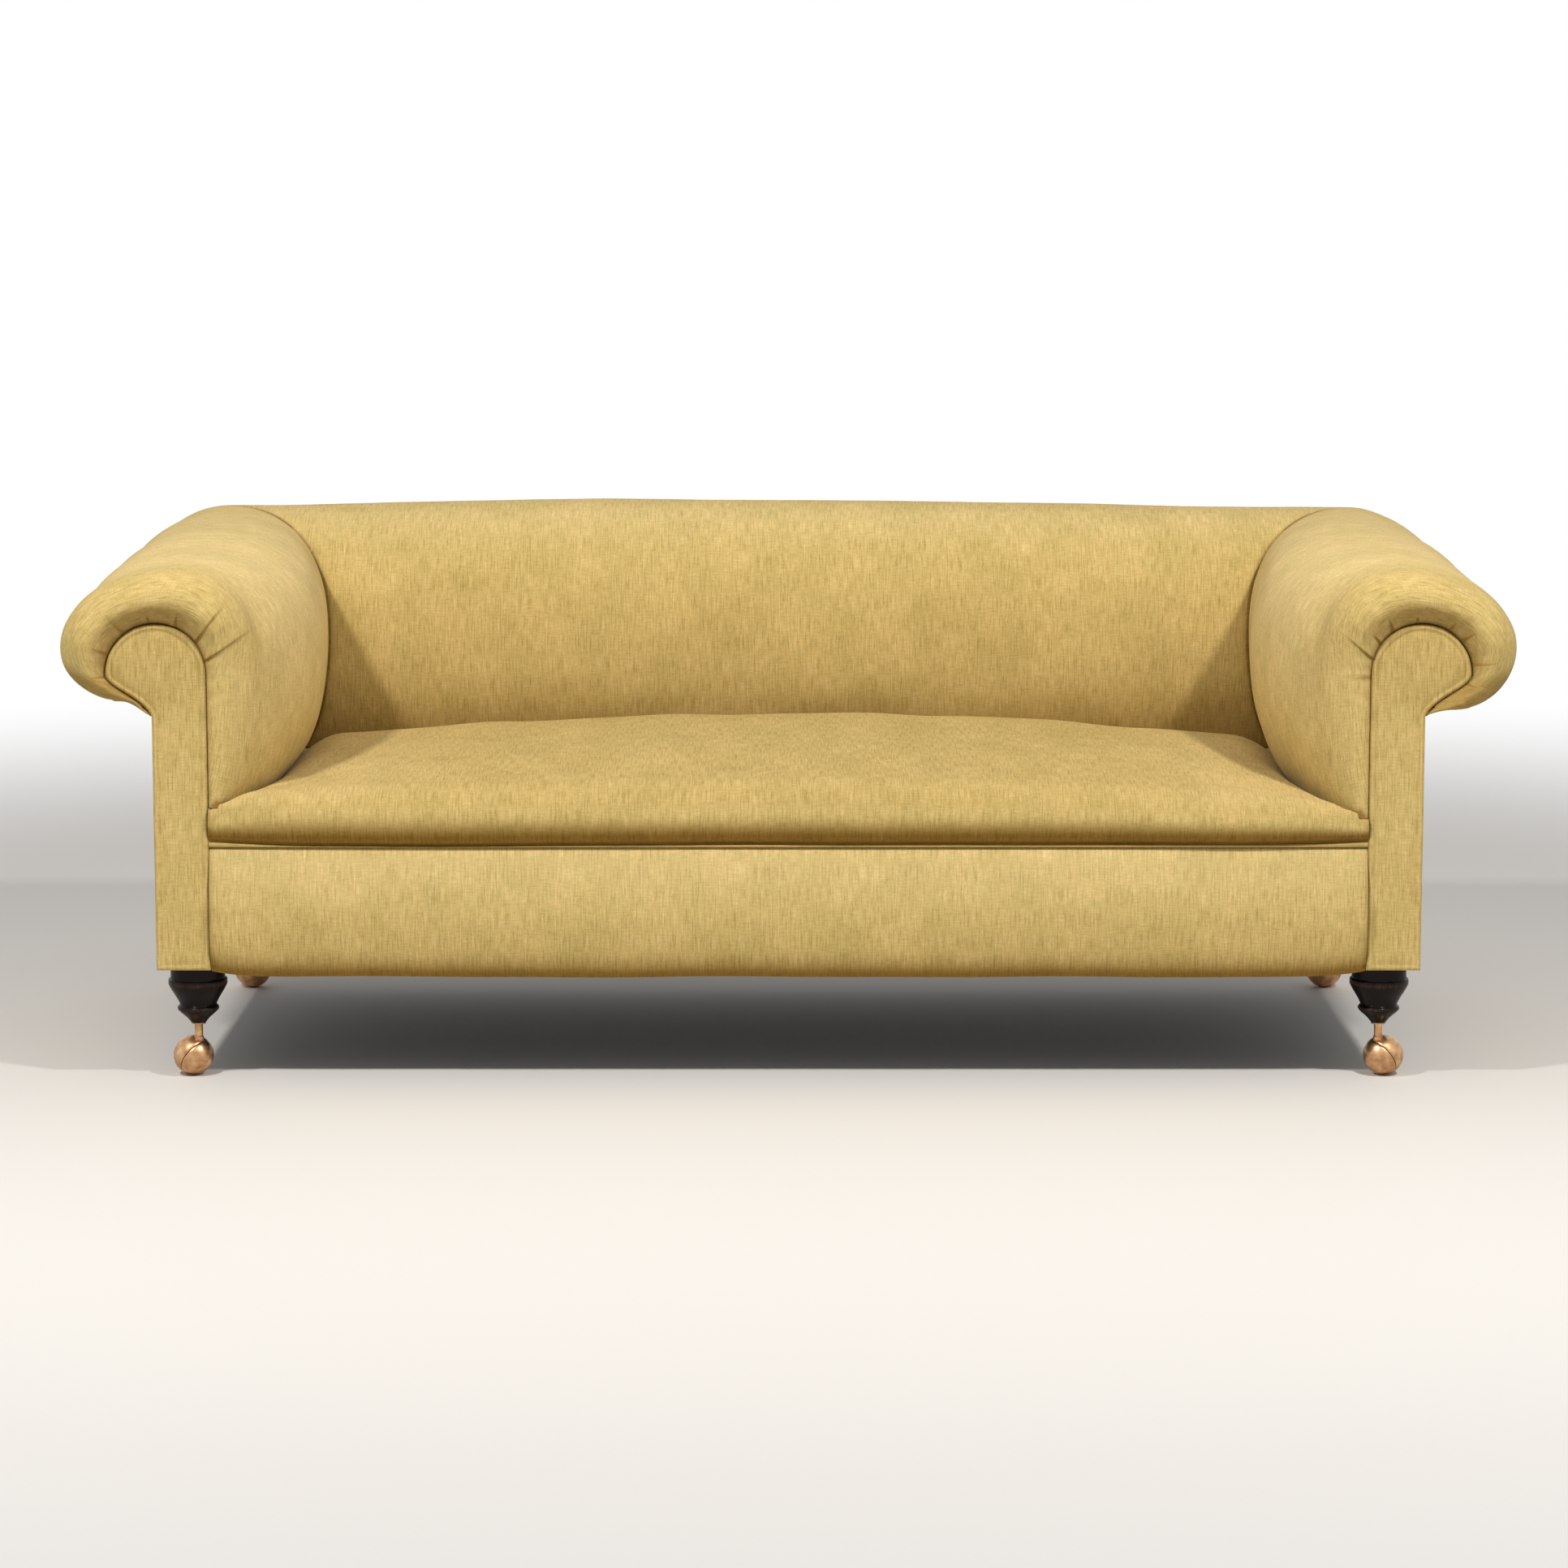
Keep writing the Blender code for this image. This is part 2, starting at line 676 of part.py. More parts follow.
def make_border(fabric):
    """The panel below the seat, a little proud in the middle of its height."""
    heights = [mix(BORDER_BOTTOM, BORDER_TOP, step / 6) for step in range(7)]
    front, back = [], []
    for x in (-BORDER_HALF, -0.6 * BORDER_HALF, 0.0, 0.6 * BORDER_HALF, BORDER_HALF):
        row = []
        for step, height in enumerate(heights):
            crown = BORDER_CROWN * math.sin(math.pi * step / 6)
            row.append((x, y_at(BORDER_FRONT + BORDER_CROWN - crown), height))
        front.append(row)
        back.append([(x, y_at(BORDER_FRONT + BORDER_THICKNESS), height) for height in heights])
    add_object("front_border", thick_sheet_mesh("front_border", front, back), fabric)

    points = [(x, y_at(PIPING_DEPTH), PIPING_HEIGHT) for x in (-BORDER_HALF, 0.0, BORDER_HALF)]
    add_object("seat_piping", tube_curve("seat_piping", points, PIPING_RADIUS, 2), fabric)


def tube_curve(name, points, radius, resolution):
    curve = bpy.data.curves.new(name, "CURVE")
    curve.dimensions = "3D"
    curve.bevel_depth = radius
    curve.bevel_resolution = resolution
    curve.use_fill_caps = True
    spline = curve.splines.new("POLY")
    spline.points.add(len(points) - 1)
    for target, spot in zip(spline.points, points):
        target.co = (*spot, 1.0)
    return curve


def make_outside_covers(fabric):
    top = LIP_HEIGHT - GAP
    front = POST_FRONT
    back = OUTSIDE_DEPTH - COVER_THICKNESS - GAP
    for label, side in SIDES.items():
        name = "outside_arm_" + label
        low, high = side_box(side, (0.0, COVER_THICKNESS), (front, back), (FACING_BOTTOM, top))
        add_object(name, box_mesh(name, low, high), fabric)
    low = (-OUTSIDE_HALF_WIDTH, y_at(OUTSIDE_DEPTH - COVER_THICKNESS), FACING_BOTTOM)
    high = (OUTSIDE_HALF_WIDTH, y_at(OUTSIDE_DEPTH), top)
    add_object("outside_back", box_mesh("outside_back", low, high), fabric)


# Frame


def spigot_bore(side, depth):
    """The hole in a post for the spigot on top of a leg."""
    top = FRAME_BOTTOM + SPIGOT_LENGTH + GAP
    radius = (SPIGOT_RADIUS + GAP) / math.cos(math.pi / ROUND_SIDES)
    mesh = turned_mesh("spigot_bore", pin_profile(radius, FRAME_BOTTOM - SPIGOT_LENGTH, top))
    mesh.transform(Matrix.Translation((x_at(side, LEG_INSET), y_at(depth), 0)))
    return mesh


def make_posts(timber):
    radius = CORE_RADIUS - GAP
    drop = CORE_DROP - GAP
    outline = scroll_outline(radius, drop, TIMBER_IN, TIMBER_OUT, FRAME_BOTTOM, CORE_CURL_SHARE)
    for label, side in SIDES.items():
        points = [(x_at(side, q), y_at(POST_BACK), z) for q, z in outline]
        stump = prism_mesh("front_post", points, (0, -POST_DEPTH, 0))
        depths = (FRONT_RAIL_FRONT, POST_BASE_BACK)
        low, high = side_box(side, (TIMBER_OUT, POST_IN), depths, (FRAME_BOTTOM, RAIL_TOP))
        base = box_mesh("post_base", low, high)
        bore = spigot_bore(side, FRONT_LEG_DEPTH)
        name = "front_post_" + label
        mesh = combined_mesh(name, stump, [("UNION", base), ("DIFFERENCE", bore)])
        add_object(name, mesh, timber)

        name = "back_post_" + label
        depths = (BACK_POST_FRONT, BACK_FRAME_BACK)
        low, high = side_box(side, (TIMBER_OUT, POST_IN), depths, (FRAME_BOTTOM, BACK_POST_TOP))
        bore = spigot_bore(side, REAR_LEG_DEPTH)
        mesh = combined_mesh(name, box_mesh(name, low, high), [("DIFFERENCE", bore)])
        add_object(name, mesh, timber)


def make_seat_rails(timber):
    inner = OUTSIDE_HALF_WIDTH - POST_IN - GAP
    rail_back = FRONT_RAIL_FRONT + RAIL_THICKNESS
    back_front = BACK_FRAME_BACK - RAIL_THICKNESS
    boxes = {
        "front_rail": (
            (-inner, y_at(FRONT_RAIL_FRONT), FRAME_BOTTOM),
            (inner, y_at(rail_back), RAIL_TOP),
        ),
        "back_rail": (
            (-inner, y_at(back_front), FRAME_BOTTOM),
            (inner, y_at(BACK_FRAME_BACK), RAIL_TOP),
        ),
        "seat_cross_rail": (
            (-CROSS_RAIL_WIDTH / 2, y_at(rail_back + GAP), FRAME_BOTTOM),
            (CROSS_RAIL_WIDTH / 2, y_at(back_front - GAP), FRAME_BOTTOM + CROSS_RAIL_HEIGHT),
        ),
    }
    for label, side in SIDES.items():
        boxes["side_rail_" + label] = side_box(
            side,
            (TIMBER_OUT, TIMBER_OUT + RAIL_THICKNESS),
            (POST_BASE_BACK + GAP, BACK_POST_FRONT - GAP),
            (FRAME_BOTTOM, RAIL_TOP),
        )
    for name, (low, high) in boxes.items():
        add_object(name, box_mesh(name, low, high), timber)


def make_corner_blocks(timber):
    """A three-sided glue block in each inside corner, against a post and a side rail."""
    rail_in = TIMBER_OUT + RAIL_THICKNESS + GAP
    for corner, (side, depth) in CORNERS.items():
        start, way = POST_BASE_BACK + GAP, 1
        if depth == REAR_LEG_DEPTH:
            start, way = BACK_POST_FRONT - GAP, -1
        outline = [
            (x_at(side, rail_in), y_at(start), FRAME_BOTTOM),
            (x_at(side, rail_in + BLOCK_LENGTH), y_at(start), FRAME_BOTTOM),
            (x_at(side, rail_in), y_at(start + way * BLOCK_LENGTH), FRAME_BOTTOM),
        ]
        name = "corner_block_" + corner
        add_object(name, prism_mesh(name, outline, (0, 0, BLOCK_HEIGHT)), timber)


def top_rail_outline():
    """Half-round top rail inside a roll: its round top carries the pad."""
    radius = CORE_RADIUS - GAP
    shares = curl_shares(CORE_CURL_SHARE)[:-1]
    curl = [under_curve(radius, CORE_DROP - GAP, TIMBER_OUT, share) for share in shares]
    return [(TIMBER_IN, curl[-1][1]), *head_arc(radius), *curl]


def make_upper_rails(timber):
    outline = top_rail_outline()
    front = POST_BACK + GAP
    tack_top = TACKING_BOTTOM + TACKING_HEIGHT
    for label, side in SIDES.items():
        name = "arm_top_rail_" + label
        points = [(x_at(side, q), y_at(front), z) for q, z in outline]
        length = BACK_POST_FRONT - GAP - front
        add_object(name, prism_mesh(name, points, (0, length, 0), smooth=True), timber)

        name = "arm_tacking_rail_" + label
        low, high = side_box(
            side,
            (TIMBER_IN - TACKING_WIDTH, TIMBER_IN),
            (front, BACK_POST_FRONT - GAP),
            (TACKING_BOTTOM, tack_top),
        )
        add_object(name, box_mesh(name, low, high), timber)

    inner = OUTSIDE_HALF_WIDTH - POST_IN - GAP
    back_outline = [(min(q, OUTSIDE_DEPTH - BACK_FRAME_FRONT), z) for q, z in outline]
    points = [(-inner, y_at(OUTSIDE_DEPTH - q), z) for q, z in back_outline]
    mesh = prism_mesh("back_top_rail", points, (2 * inner, 0, 0), smooth=True)
    add_object("back_top_rail", mesh, timber)
    low = (-inner, y_at(BACK_FRAME_FRONT), TACKING_BOTTOM)
    high = (inner, y_at(BACK_FRAME_FRONT + TACKING_WIDTH), tack_top)
    add_object("back_tacking_rail", box_mesh("back_tacking_rail", low, high), timber)


# Suspension


def strap_lattice(name, first, second, spans, place):
    """Crossed straps as one flat sheet with square gaps.

    first and second hold the middles of the straps along the two directions, spans their ends,
    and place turns the two distances into a point on one face and one on the other.
    """

    def lines(middles, span):
        edges = [edge for m in middles for edge in (m - STRAP_WIDTH / 2, m + STRAP_WIDTH / 2)]
        return [span[0], *edges, span[1]]

    first_lines = lines(first, spans[0])
    second_lines = lines(second, spans[1])
    shell = bmesh.new()
    verts = {}

    def vert(i, j):
        if (i, j) not in verts:
            verts[i, j] = shell.verts.new(place(first_lines[i], second_lines[j])[0])
        return verts[i, j]

    for i in range(len(first_lines) - 1):
        for j in range(len(second_lines) - 1):
            if i % 2 or j % 2:
                shell.faces.new([vert(i, j), vert(i + 1, j), vert(i + 1, j + 1), vert(i, j + 1)])
    near, far = place(0.0, 0.0)
    moved = bmesh.ops.extrude_face_region(shell, geom=list(shell.faces))
    lifted = [item for item in moved["geom"] if isinstance(item, bmesh.types.BMVert)]
    bmesh.ops.translate(shell, verts=lifted, vec=Vector(far) - Vector(near))
    return finished_mesh(name, shell)


def spring_spots():
    columns = [(i - (SPRING_COLUMNS - 1) / 2) * SPRING_SPACING for i in range(SPRING_COLUMNS)]
    rows = [
        SPRING_MIDDLE_DEPTH + (j - (SPRING_ROWS - 1) / 2) * SPRING_ROW_SPACING
        for j in range(SPRING_ROWS)
    ]
    return columns, rows


def spring_path():
    """One unbroken wire through every spring, up one and down the next, tied from end to end."""
    columns, rows = spring_spots()
    spots = []
    for index, depth in enumerate(rows):
        ordered = columns if index % 2 == 0 else list(reversed(columns))
        spots += [Vector((x, y_at(depth))) for x in ordered]
    low = WEBBING_TOP + GAP + SPRING_WIRE
    high = RAIL_TOP - SPRING_WIRE
    path = []
    for index, spot in enumerate(spots):
        before = spots[max(index - 1, 0)] if index else 2 * spot - spots[1]
        after = spots[index + 1] if index + 1 < len(spots) else 2 * spot - spots[index - 1]
        start = math.atan2(before.y - spot.y, before.x - spot.x)
        finish = math.atan2(after.y - spot.y, after.x - spot.x)
        turn = (finish - start) % (2 * math.pi) + 2 * math.pi * (SPRING_TURNS - 1)
        count = round(SPRING_POINTS * turn / (2 * math.pi))
        for step in range(count + 1):
            share = step / count
            pinch = math.sin(math.pi * share)
            radius = mix(SPRING_RADIUS, SPRING_WAIST, pinch)
            angle = start + turn * share
            climb = share if index % 2 == 0 else 1 - share
            path.append(
                (
                    spot.x + radius * math.cos(angle),
                    spot.y + radius * math.sin(angle),
                    mix(low, high, climb),
                )
            )
    return path


def least_self_gap(path, radius):
    """Least clear distance between stretches of a tube that lie over one turn's half apart."""
    spots = [Vector(point) for point in path]
    skip = SPRING_POINTS // 2
    least = math.inf
    for index, spot in enumerate(spots):
        for other in spots[index + skip :]:
            least = min(least, (spot - other).length)
    return least - 2 * radius


def make_suspension(jute, steel, hessian, cambric):
    columns, rows = spring_spots()
    low_face = WEBBING_TOP - STRAP_THICKNESS
    strap_x = OUTSIDE_HALF_WIDTH - TIMBER_OUT
    spans = ((-strap_x, strap_x), (FRONT_RAIL_FRONT, BACK_FRAME_BACK))
    mesh = strap_lattice(
        "seat_webbing",
        columns,
        rows,
        spans,
        lambda x, depth: ((x, y_at(depth), low_face), (x, y_at(depth), WEBBING_TOP)),
    )
    add_object("seat_webbing", mesh, jute)

    path = spring_path()
    print("least gap of the spring wire to itself:", least_self_gap(path, SPRING_WIRE))
    add_object("seat_springs", tube_curve("seat_springs", path, SPRING_WIRE, 0), steel)

    side = OUTSIDE_HALF_WIDTH - TIMBER_OUT
    low = (-side, y_at(POST_BACK + GAP), RAIL_TOP + GAP)
    high = (side, y_at(BACK_POST_FRONT - GAP), RAIL_TOP + GAP + HESSIAN_THICKNESS)
    add_object("seat_hessian", box_mesh("seat_hessian", low, high), hessian)

    straps = [(i - (BACK_STRAPS - 1) / 2) * BACK_STRAP_SPACING for i in range(BACK_STRAPS)]
    inner = OUTSIDE_HALF_WIDTH - POST_IN - GAP
    heights = (TACKING_BOTTOM, HEAD_HEIGHT)
    face = BACK_FRAME_FRONT - GAP - STRAP_THICKNESS
    mesh = strap_lattice(
        "back_webbing",
        straps,
        [(heights[0] + heights[1]) / 2],
        ((-inner, inner), heights),
        lambda x, z: ((x, y_at(face), z), (x, y_at(face + STRAP_THICKNESS), z)),
    )
    add_object("back_webbing", mesh, jute)

    add_object("dust_cover", dust_cover_mesh(), cambric)


def dust_cover_mesh():
    """The cloth under the frame, with its corners cut away round the legs."""
    side = OUTSIDE_HALF_WIDTH - TIMBER_OUT
    notch_x = OUTSIDE_HALF_WIDTH - LEG_INSET - LEG_RADIUS - DUST_MARGIN
    front, back = FRONT_RAIL_FRONT, BACK_FRAME_BACK
    notch_front = FRONT_LEG_DEPTH + LEG_RADIUS + DUST_MARGIN
    notch_back = REAR_LEG_DEPTH - LEG_RADIUS - DUST_MARGIN
    half = [
        (notch_x, front),
        (notch_x, notch_front),
        (side, notch_front),
        (side, notch_back),
        (notch_x, notch_back),
        (notch_x, back),
    ]
    outline = half + [(-x, depth) for x, depth in reversed(half)]
    points = [(x, y_at(depth), DUST_TOP - DUST_THICKNESS) for x, depth in outline]
    return prism_mesh("dust_cover", points, (0, 0, DUST_THICKNESS))


# Legs and castors


def leg_profile():
    """Turned leg: socket bore, flared foot, ring, neck, cup and spigot, from the axis round."""
    bore = (SOCKET_RADIUS + GAP) / math.cos(math.pi / ROUND_SIDES)
    height = LEG_TOP - LEG_BOTTOM
    turned = [(share * LEG_RADIUS, LEG_BOTTOM + rise * height) for share, rise in LEG_TURNING]
    bore_top = LEG_BOTTOM + SOCKET_LENGTH + GAP
    spigot_top = LEG_TOP + SPIGOT_LENGTH
    return [
        (0, bore_top),
        (bore, bore_top),
        (bore, LEG_BOTTOM),
        (bore + LEG_FOOT_WALL, LEG_BOTTOM),
        *turned,
        (SPIGOT_RADIUS, LEG_TOP),
        (SPIGOT_RADIUS, spigot_top),
        (0, spigot_top),
    ]


def socket_profile():
    """Brass sleeve with a flange under the leg and a closed top."""
    hole = (STEM_RADIUS + GAP) / math.cos(math.pi / ROUND_SIDES)
    flange_bottom = LEG_BOTTOM - GAP - SOCKET_FLANGE
    flange_radius = SOCKET_RADIUS + SOCKET_FLANGE_LIP
    hole_top = LEG_BOTTOM + STEM_INSERT + GAP
    return [
        (0, hole_top),
        (hole, hole_top),
        (hole, flange_bottom),
        (flange_radius, flange_bottom),
        (flange_radius, LEG_BOTTOM - GAP),
        (SOCKET_RADIUS, LEG_BOTTOM - GAP),
        (SOCKET_RADIUS, LEG_BOTTOM + SOCKET_LENGTH),
        (0, LEG_BOTTOM + SOCKET_LENGTH),
    ]


def ball_arc(radius, start, end, steps):
    """Points (radius, height) on a ball from one height along its axis to another."""
    first = math.acos(start / radius)
    last = math.acos(end / radius)
    points = []
    for step in range(steps + 1):
        angle = mix(first, last, step / steps)
        points.append((radius * math.sin(angle), radius * math.cos(angle)))
    return points


def half_ball_profile(split, steps):
    """Hollow cap of the ball above a split plane, with a bored hub on its axis."""
    bore = (AXLE_RADIUS + GAP) / math.cos(math.pi / ROUND_SIDES)
    inside = BALL_RADIUS - SHELL_THICKNESS
    outer = ball_arc(BALL_RADIUS, BALL_RADIUS, split, steps)
    hub_start = math.sqrt(inside**2 - HUB_RADIUS**2)
    inner = ball_arc(inside, split, hub_start, steps - 2)
    hub_end = split + HUB_GAP / 2 - SPLIT_GAP / 2
    return [
        (0, BALL_RADIUS),
        *outer[1:],
        *inner,
        (HUB_RADIUS, hub_end),
        (bore, hub_end),
        (bore, AXLE_REACH + GAP),
        (0, AXLE_REACH + GAP),
    ]


WHEEL_SPLIT = SPLIT_OFFSET + SPLIT_GAP / 2
HOOD_SPLIT = SPLIT_GAP / 2 - SPLIT_OFFSET


def ball_height():
    """Height of the ball's middle, so that a flat of the wheel stands on the floor."""
    flat = math.cos(math.pi / ROUND_SIDES) * math.cos(AXLE_TILT)
    return max(
        height * math.sin(AXLE_TILT) + radius * flat
        for radius, height in half_ball_profile(WHEEL_SPLIT, 5)
    )


def axle_matrix():
    """Places a turned piece with +Z from the hood to the wheel, on the ball's middle."""
    turn = math.atan2(-math.cos(AXLE_TILT), -math.sin(AXLE_TILT))
    place = Matrix.Translation((TRAIL, 0, ball_height()))
    return place @ Matrix.Rotation(turn, 4, "Y")


def hood_mesh():
    """The fixed half of the ball, with a boss on top that takes the foot of the stem."""
    cap = turned_mesh("castor_hood", half_ball_profile(HOOD_SPLIT, 6), 0.5)
    cap.transform(Matrix.Rotation(math.pi, 4, "X"))
    cap.transform(axle_matrix())
    middle = ball_height()
    top = middle + BALL_RADIUS
    low = top - BOSS_DEPTH
    boss = turned_mesh("boss", pin_profile(BOSS_RADIUS, low, top))
    hole = (STEM_FOOT_RADIUS + GAP) / math.cos(math.pi / ROUND_SIDES)
    below, above = middle + STEM_FOOT_RADIUS, top + BOSS_DEPTH
    bore = turned_mesh("bore", pin_profile(hole, below, above))
    return combined_mesh("castor_hood", cap, [("UNION", boss), ("DIFFERENCE", bore)])


def stem_profile():
    """Upright pin: its foot is in the hood's boss, and its upper end turns in the socket."""
    boss_top = ball_height() + BALL_RADIUS
    foot = boss_top - BOSS_DEPTH - GAP
    return [
        (0, foot),
        (STEM_FOOT_RADIUS, foot),
        (STEM_FOOT_RADIUS, boss_top + GAP),
        (STEM_RADIUS, boss_top + GAP),
        (STEM_RADIUS, LEG_BOTTOM + STEM_INSERT),
        (0, LEG_BOTTOM + STEM_INSERT),
    ]


def make_legs_and_castors(ebonised, metal):
    leg = turned_mesh("leg", leg_profile())
    socket = turned_mesh("castor_socket", socket_profile())
    stem = turned_mesh("castor_stem", stem_profile())
    hood = hood_mesh()
    wheel = turned_mesh("castor_wheel", half_ball_profile(WHEEL_SPLIT, 5), 0.5)
    axle = turned_mesh("castor_axle", pin_profile(AXLE_RADIUS, -AXLE_REACH, AXLE_REACH), 0.5)
    on_axle = axle_matrix()
    for corner, (side, depth) in CORNERS.items():
        swivel = bpy.data.objects.new("swivel_axis_" + corner, None)
        bpy.context.scene.collection.objects.link(swivel)
        swivel.location = (x_at(side, LEG_INSET), y_at(depth), 0)
        swivel.rotation_euler = (0, 0, math.radians(HEADINGS[corner]))
        place = Matrix.Translation(swivel.location)
        add_object("leg_" + corner, leg, ebonised, matrix=place)
        add_object("castor_socket_" + corner, socket, metal, matrix=place)
        add_object("castor_stem_" + corner, stem, metal, swivel)
        add_object("castor_hood_" + corner, hood, metal, swivel)
        add_object("castor_axle_" + corner, axle, metal, swivel, on_axle)
        add_object("castor_wheel_" + corner, wheel, metal, swivel, on_axle)


def build():
    for old in list(bpy.data.objects):
        bpy.data.objects.remove(old)
    fabric = material("sage_chenille", (0.53, 0.40, 0.15), 0.9)
    timber = material("beech", (0.55, 0.36, 0.20), 0.6)
    ebonised = material("ebonised_wood", (0.02, 0.012, 0.008), 0.25)
    metal = material("copper_brass", (0.62, 0.30, 0.14), 0.3, 1.0)
    jute = material("jute_webbing", (0.42, 0.28, 0.14), 0.9)
    steel = material("spring_steel", (0.45, 0.42, 0.38), 0.4, 1.0)
    hessian = material("hessian", (0.40, 0.29, 0.16), 0.95)
    cambric = material("black_cambric", (0.03, 0.03, 0.03), 0.9)
    make_pads(fabric)
    make_facings(fabric)
    make_border(fabric)
    make_outside_covers(fabric)
    make_posts(timber)
    make_seat_rails(timber)
    make_corner_blocks(timber)
    make_upper_rails(timber)
    make_suspension(jute, steel, hessian, cambric)
    make_legs_and_castors(ebonised, metal)


build()
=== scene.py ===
"""Looks of the rolled-arm chesterfield sofa: upholstery, legs, castors, floor, light and camera.

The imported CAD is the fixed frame, in metres with +Z up and the front towards -Y. As in the CAD, a
depth is measured back from the front of the arm facings and an inset is measured in from the outer
face of the outside covers, so the arms and the back share one rolled section.
"""

import json
import math
from types import SimpleNamespace

import bmesh
import bpy
import numpy as np
from mathutils import Matrix, Vector
from mathutils.kdtree import KDTree


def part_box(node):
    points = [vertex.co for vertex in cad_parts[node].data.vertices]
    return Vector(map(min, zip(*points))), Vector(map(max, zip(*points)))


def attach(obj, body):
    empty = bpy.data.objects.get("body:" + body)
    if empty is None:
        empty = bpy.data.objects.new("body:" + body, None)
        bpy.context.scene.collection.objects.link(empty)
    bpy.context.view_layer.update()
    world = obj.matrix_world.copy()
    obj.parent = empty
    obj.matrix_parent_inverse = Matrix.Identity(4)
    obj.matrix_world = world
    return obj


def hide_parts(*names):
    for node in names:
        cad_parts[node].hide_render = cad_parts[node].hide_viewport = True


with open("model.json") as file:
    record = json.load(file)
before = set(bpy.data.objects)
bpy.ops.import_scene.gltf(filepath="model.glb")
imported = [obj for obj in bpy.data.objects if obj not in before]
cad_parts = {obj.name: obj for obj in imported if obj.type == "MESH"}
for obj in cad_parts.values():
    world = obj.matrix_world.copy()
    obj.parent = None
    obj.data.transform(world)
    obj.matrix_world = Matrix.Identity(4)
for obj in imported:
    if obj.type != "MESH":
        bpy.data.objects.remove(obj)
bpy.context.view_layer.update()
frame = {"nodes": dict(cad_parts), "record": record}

# Sizes shared with the CAD
OUTSIDE_HALF_WIDTH = 0.840
OUTSIDE_DEPTH = 0.7405
DEPTH_MIDDLE = 0.42975
ROLL_OVERHANG = 0.124
ARM_TOP = 0.684
BACK_TOP = 0.724
COVER_THICKNESS = 0.0035
PAD_BOTTOM = 0.372
BOTTOM_INSET = 0.134
BOTTOM_SWEEP = math.radians(70)
BULGE_HEIGHT = 0.550
ARM_BULGE_INSET = 0.200
BACK_BULGE_INSET = 0.179
BULGE_RUN = 0.30
BOTTOM_RUN = 0.22
ROLL_POWER = 2.4
TOP_INSET = 0.029
ROLL_MID_HEIGHT = 0.581
UNDER_INSET = -0.046
UNDER_HEIGHT = 0.501
LIP_HEIGHT = 0.491
LIP_THICKNESS = 0.007
ARM_LEVEL_RUN = 0.25
ARM_FULL_DEPTH = 0.045
HEAD_INSET = 0.006
HEAD_HEIGHT = 0.550
FACING_RADIUS = 0.066
FACING_DROP = 0.057
FACING_THICKNESS = 0.0095
FACING_BOTTOM = 0.1535
FACING_HOLD = 0.0055
FACING_CURL_SHARE = 0.8
CORE_CURL_SHARE = 0.85
SEAT_BASE = 0.3273
SEAT_FRONT = -0.005
SEAT_CROWN = 0.4405
SEAT_EDGE = 0.3685
SEAT_NOSE = 0.350
SEAT_FRONT_ROUND = 0.045
SEAT_UNDER = 0.014
BORDER_TOP = 0.3185
BORDER_BOTTOM = 0.143
LEG_BOTTOM = 0.073
LEG_TOP = 0.1566
LEG_RADIUS = 0.0394
LEG_INSET = 0.047
FRONT_LEG_DEPTH = 0.060
REAR_LEG_DEPTH = 0.697
BALL_RADIUS = 0.02695
BALL_HEIGHT = 0.026966
TRAIL = 0.010
AXLE_TILT = math.radians(32)
HEADINGS = {"front_left": 145, "front_right": 35, "rear_left": 120, "rear_right": 60}
GAP = 0.0004

FACING_INSET = HEAD_INSET + FACING_RADIUS
CORE_RADIUS = FACING_RADIUS - FACING_HOLD
CORE_INSET = HEAD_INSET + CORE_RADIUS
CORE_DROP = HEAD_HEIGHT - LIP_HEIGHT - LIP_THICKNESS
LIP_INSET = COVER_THICKNESS
SEAT_BACK = OUTSIDE_DEPTH - BOTTOM_INSET + SEAT_UNDER
BORDER_HALF = OUTSIDE_HALF_WIDTH - FACING_INSET - GAP
BEHIND_FACING = FACING_THICKNESS + GAP
SIDES = {"left": -1, "right": 1}
CORNERS = {
    "front_left": (-1, FRONT_LEG_DEPTH),
    "front_right": (1, FRONT_LEG_DEPTH),
    "rear_left": (-1, REAR_LEG_DEPTH),
    "rear_right": (1, REAR_LEG_DEPTH),
}

# Steps round the rolled section: inner curve, over the bulge, over the top, under the roll, lip
ARM_STEPS = (40, 150, 80, 44, 8)
BACK_STEPS = (30, 60, 34, 26, 6)
# Rows of an arm's front, then of its body and of half the back: up to the closer rows and in them
ARM_FRONT_ROWS = 44
ARM_BODY_ROWS = (69, 14)
BACK_HALF_ROWS = (91, 13)
# Shares of a line where the closer rows at the mitre start
ARM_MITRE = 0.955
BACK_MITRE = 0.96
# Share of a line's rows on its straight run, and the least length of its corner
LINE_KNEE = 0.8
LINE_LAST = 0.03

# Half of the back's length over which the height of its top is taken
BACK_LEVEL_END = 0.81
# How far an arm's cover is tucked in under its facing and beside the stem
TUCK = 0.002
# How far the rolls sink at the back corners
CORNER_DROP = {"left": 0.006, "right": 0.009}
# How much higher the roll's underside is at an arm's front than further back, and over what run
UNDER_LIFT = {"left": 0.011, "right": 0.0}
UNDER_LIFT_RUN = 0.40
# How much lower the seat, and the arm's foot on it, have settled at the front of the right end
SEAT_SINK = 0.014

